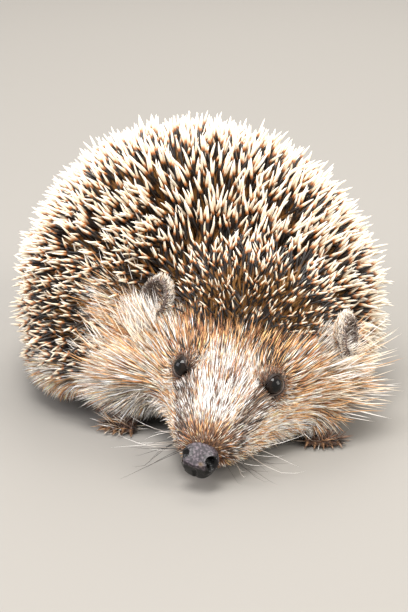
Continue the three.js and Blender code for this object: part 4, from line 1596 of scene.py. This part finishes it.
def skin_colours(points):
    colours = hair_mix(points) @ HAIR_COLOURS * SKIN_AND_SHADE_UNDER_COAT * np.array([1.15, 0.95, 0.85])
    colours = lay(colours, spiny(points, 3.0), SKIN_AND_SHADE_UNDER_SPINES)
    feet_near = near_legs(points, 9, 13)
    colours = lay(colours, feet_near * mound(points[:, 2] / MM, 8, 12), np.array(BARE["foot"]))
    for middle in ear_middles.values():
        near_ear = mound(away_from(points, middle), 9, 11)
        colours = lay(colours, near_ear, np.array(BARE["ear"]))
    colours = lay(colours, mound(eye_distance(points), 4.2, 5.6), np.array(BARE["lid"]))
    return lay(colours, mound(eye_distance(points), 3.55, 3.8), np.array(BARE["lid_edge"]))


for addition in [ground, *ears.values(), *feet.values(), *lids.values()]:
    bpy.data.objects.remove(addition)
colours = skin_colours(places(skin))
set_attribute(skin.data, "marking_and_shade", colours)
skin.data.materials.clear()
skin.data.materials.append(skin_material())
skin.data.polygons.foreach_set("use_smooth", np.ones(len(skin.data.polygons), dtype=bool))
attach(skin, "root")
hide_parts(*flesh)
print("skin colours from", np.round(colours.min(0), 3), "to", np.round(colours.max(0), 3))

# %% Nose, eyes and claws


def nose_material():
    """Bare nose skin: dry and pebbled where wet is 0, black and shining where it is 1."""
    material = new_material("pebbled_nose_skin")
    wet = add_node(material, "ShaderNodeAttribute", {"attribute_name": "wet"})
    place = add_node(material, "ShaderNodeTexCoord")
    pebbles = add_node(
        material, "ShaderNodeTexVoronoi", inputs={"Scale": 1 / (0.5 * MM)}, links={"Vector": place.outputs["Object"]}
    )
    scuffs = add_node(
        material, "ShaderNodeTexNoise", inputs={"Scale": 1 / (0.8 * MM), "Detail": 4.0},
        links={"Vector": place.outputs["Object"]},
    )
    dry = add_node(material, "ShaderNodeValToRGB", links={"Fac": scuffs.outputs["Fac"]})
    set_ramp(dry, [(0.34, linear("#1b171a")), (0.5, linear("#383137")), (0.66, linear("#6a5f65"))])
    patch = add_node(material, "ShaderNodeAttribute", {"attribute_name": "ochre"})
    dried = add_node(
        material, "ShaderNodeMix", {"data_type": "RGBA"}, {7: linear("#6f5836")},
        {0: patch.outputs["Fac"], 6: dry.outputs["Color"]},
    )
    colour = add_node(
        material, "ShaderNodeMix", {"data_type": "RGBA"}, {7: linear("#060505")},
        {0: wet.outputs["Fac"], 6: dried.outputs[2]},
    )
    gloss = add_node(
        material, "ShaderNodeMapRange", inputs={"To Min": 0.5, "To Max": 0.08}, links={"Value": wet.outputs["Fac"]}
    )
    relief = add_node(
        material, "ShaderNodeBump", inputs={"Strength": 0.6, "Distance": 0.12 * MM},
        links={"Height": pebbles.outputs["Distance"]},
    )
    shader = add_node(
        material, "ShaderNodeBsdfPrincipled", inputs={"Specular IOR Level": 0.3},
        links={
            "Base Color": colour.outputs[2], "Roughness": gloss.outputs["Result"],
            "Normal": relief.outputs["Normal"],
        },
    )
    add_node(material, "ShaderNodeOutputMaterial", links={"Surface": shader.outputs[0]})
    return material


def eye_material():
    """Wet eye: nearly black, with a trace of brown round the pupil, under a clear film."""
    material = new_material("wet_black_eye")
    outwards = add_node(material, "ShaderNodeAttribute", {"attribute_name": "from_pupil"})
    colour = add_node(material, "ShaderNodeValToRGB", links={"Fac": outwards.outputs["Fac"]})
    set_ramp(colour, [
        (0.0, linear("#040303")), (0.38, linear("#050404")), (0.48, linear("#1c110b")), (0.85, linear("#0c0806")),
    ])
    shader = add_node(
        material, "ShaderNodeBsdfPrincipled", inputs={"Roughness": 0.03, "IOR": 1.38},
        links={"Base Color": colour.outputs["Color"]},
    )
    add_node(material, "ShaderNodeOutputMaterial", links={"Surface": shader.outputs[0]})
    return material


def claw_material():
    """Brown horn, smooth and slightly glossy, with faint growth rings."""
    material = new_material("brown_horn_claw")
    place = add_node(material, "ShaderNodeTexCoord")
    rings = add_node(
        material, "ShaderNodeTexNoise", inputs={"Scale": 1 / (0.9 * MM), "Detail": 2.0},
        links={"Vector": place.outputs["Object"]},
    )
    colour = add_node(material, "ShaderNodeValToRGB", links={"Fac": rings.outputs["Fac"]})
    set_ramp(colour, [(0.35, linear("#4a3325")), (0.7, linear("#8f6d50"))])
    shader = add_node(
        material, "ShaderNodeBsdfPrincipled", inputs={"Roughness": 0.3, "IOR": HAIR_IOR},
        links={"Base Color": colour.outputs["Color"]},
    )
    add_node(material, "ShaderNodeOutputMaterial", links={"Surface": shader.outputs[0]})
    return material


nose.data.materials.append(nose_material())
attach(nose, "root")
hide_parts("nose")
wet_eye = eye_material()
for side, eye in eyes.items():
    eye.data.materials.append(wet_eye)
    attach(eye, "root")
    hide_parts("eye_" + side)
claws.data.materials.clear()
claws.data.materials.append(claw_material())
claws.data.polygons.foreach_set("use_smooth", np.ones(len(claws.data.polygons), dtype=bool))
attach(claws, "root")
print("nose, two eyes and claws are finished")

# %% [markdown]
# ## The coat's count
# The pieces of coat are counted, with their stems and triangles.

# %% The coat's count, and the end
stems, triangles = np.sum(PIECES, axis=0)
print("coat:", len(PIECES), "pieces,", stems, "stems,", triangles, "triangles")
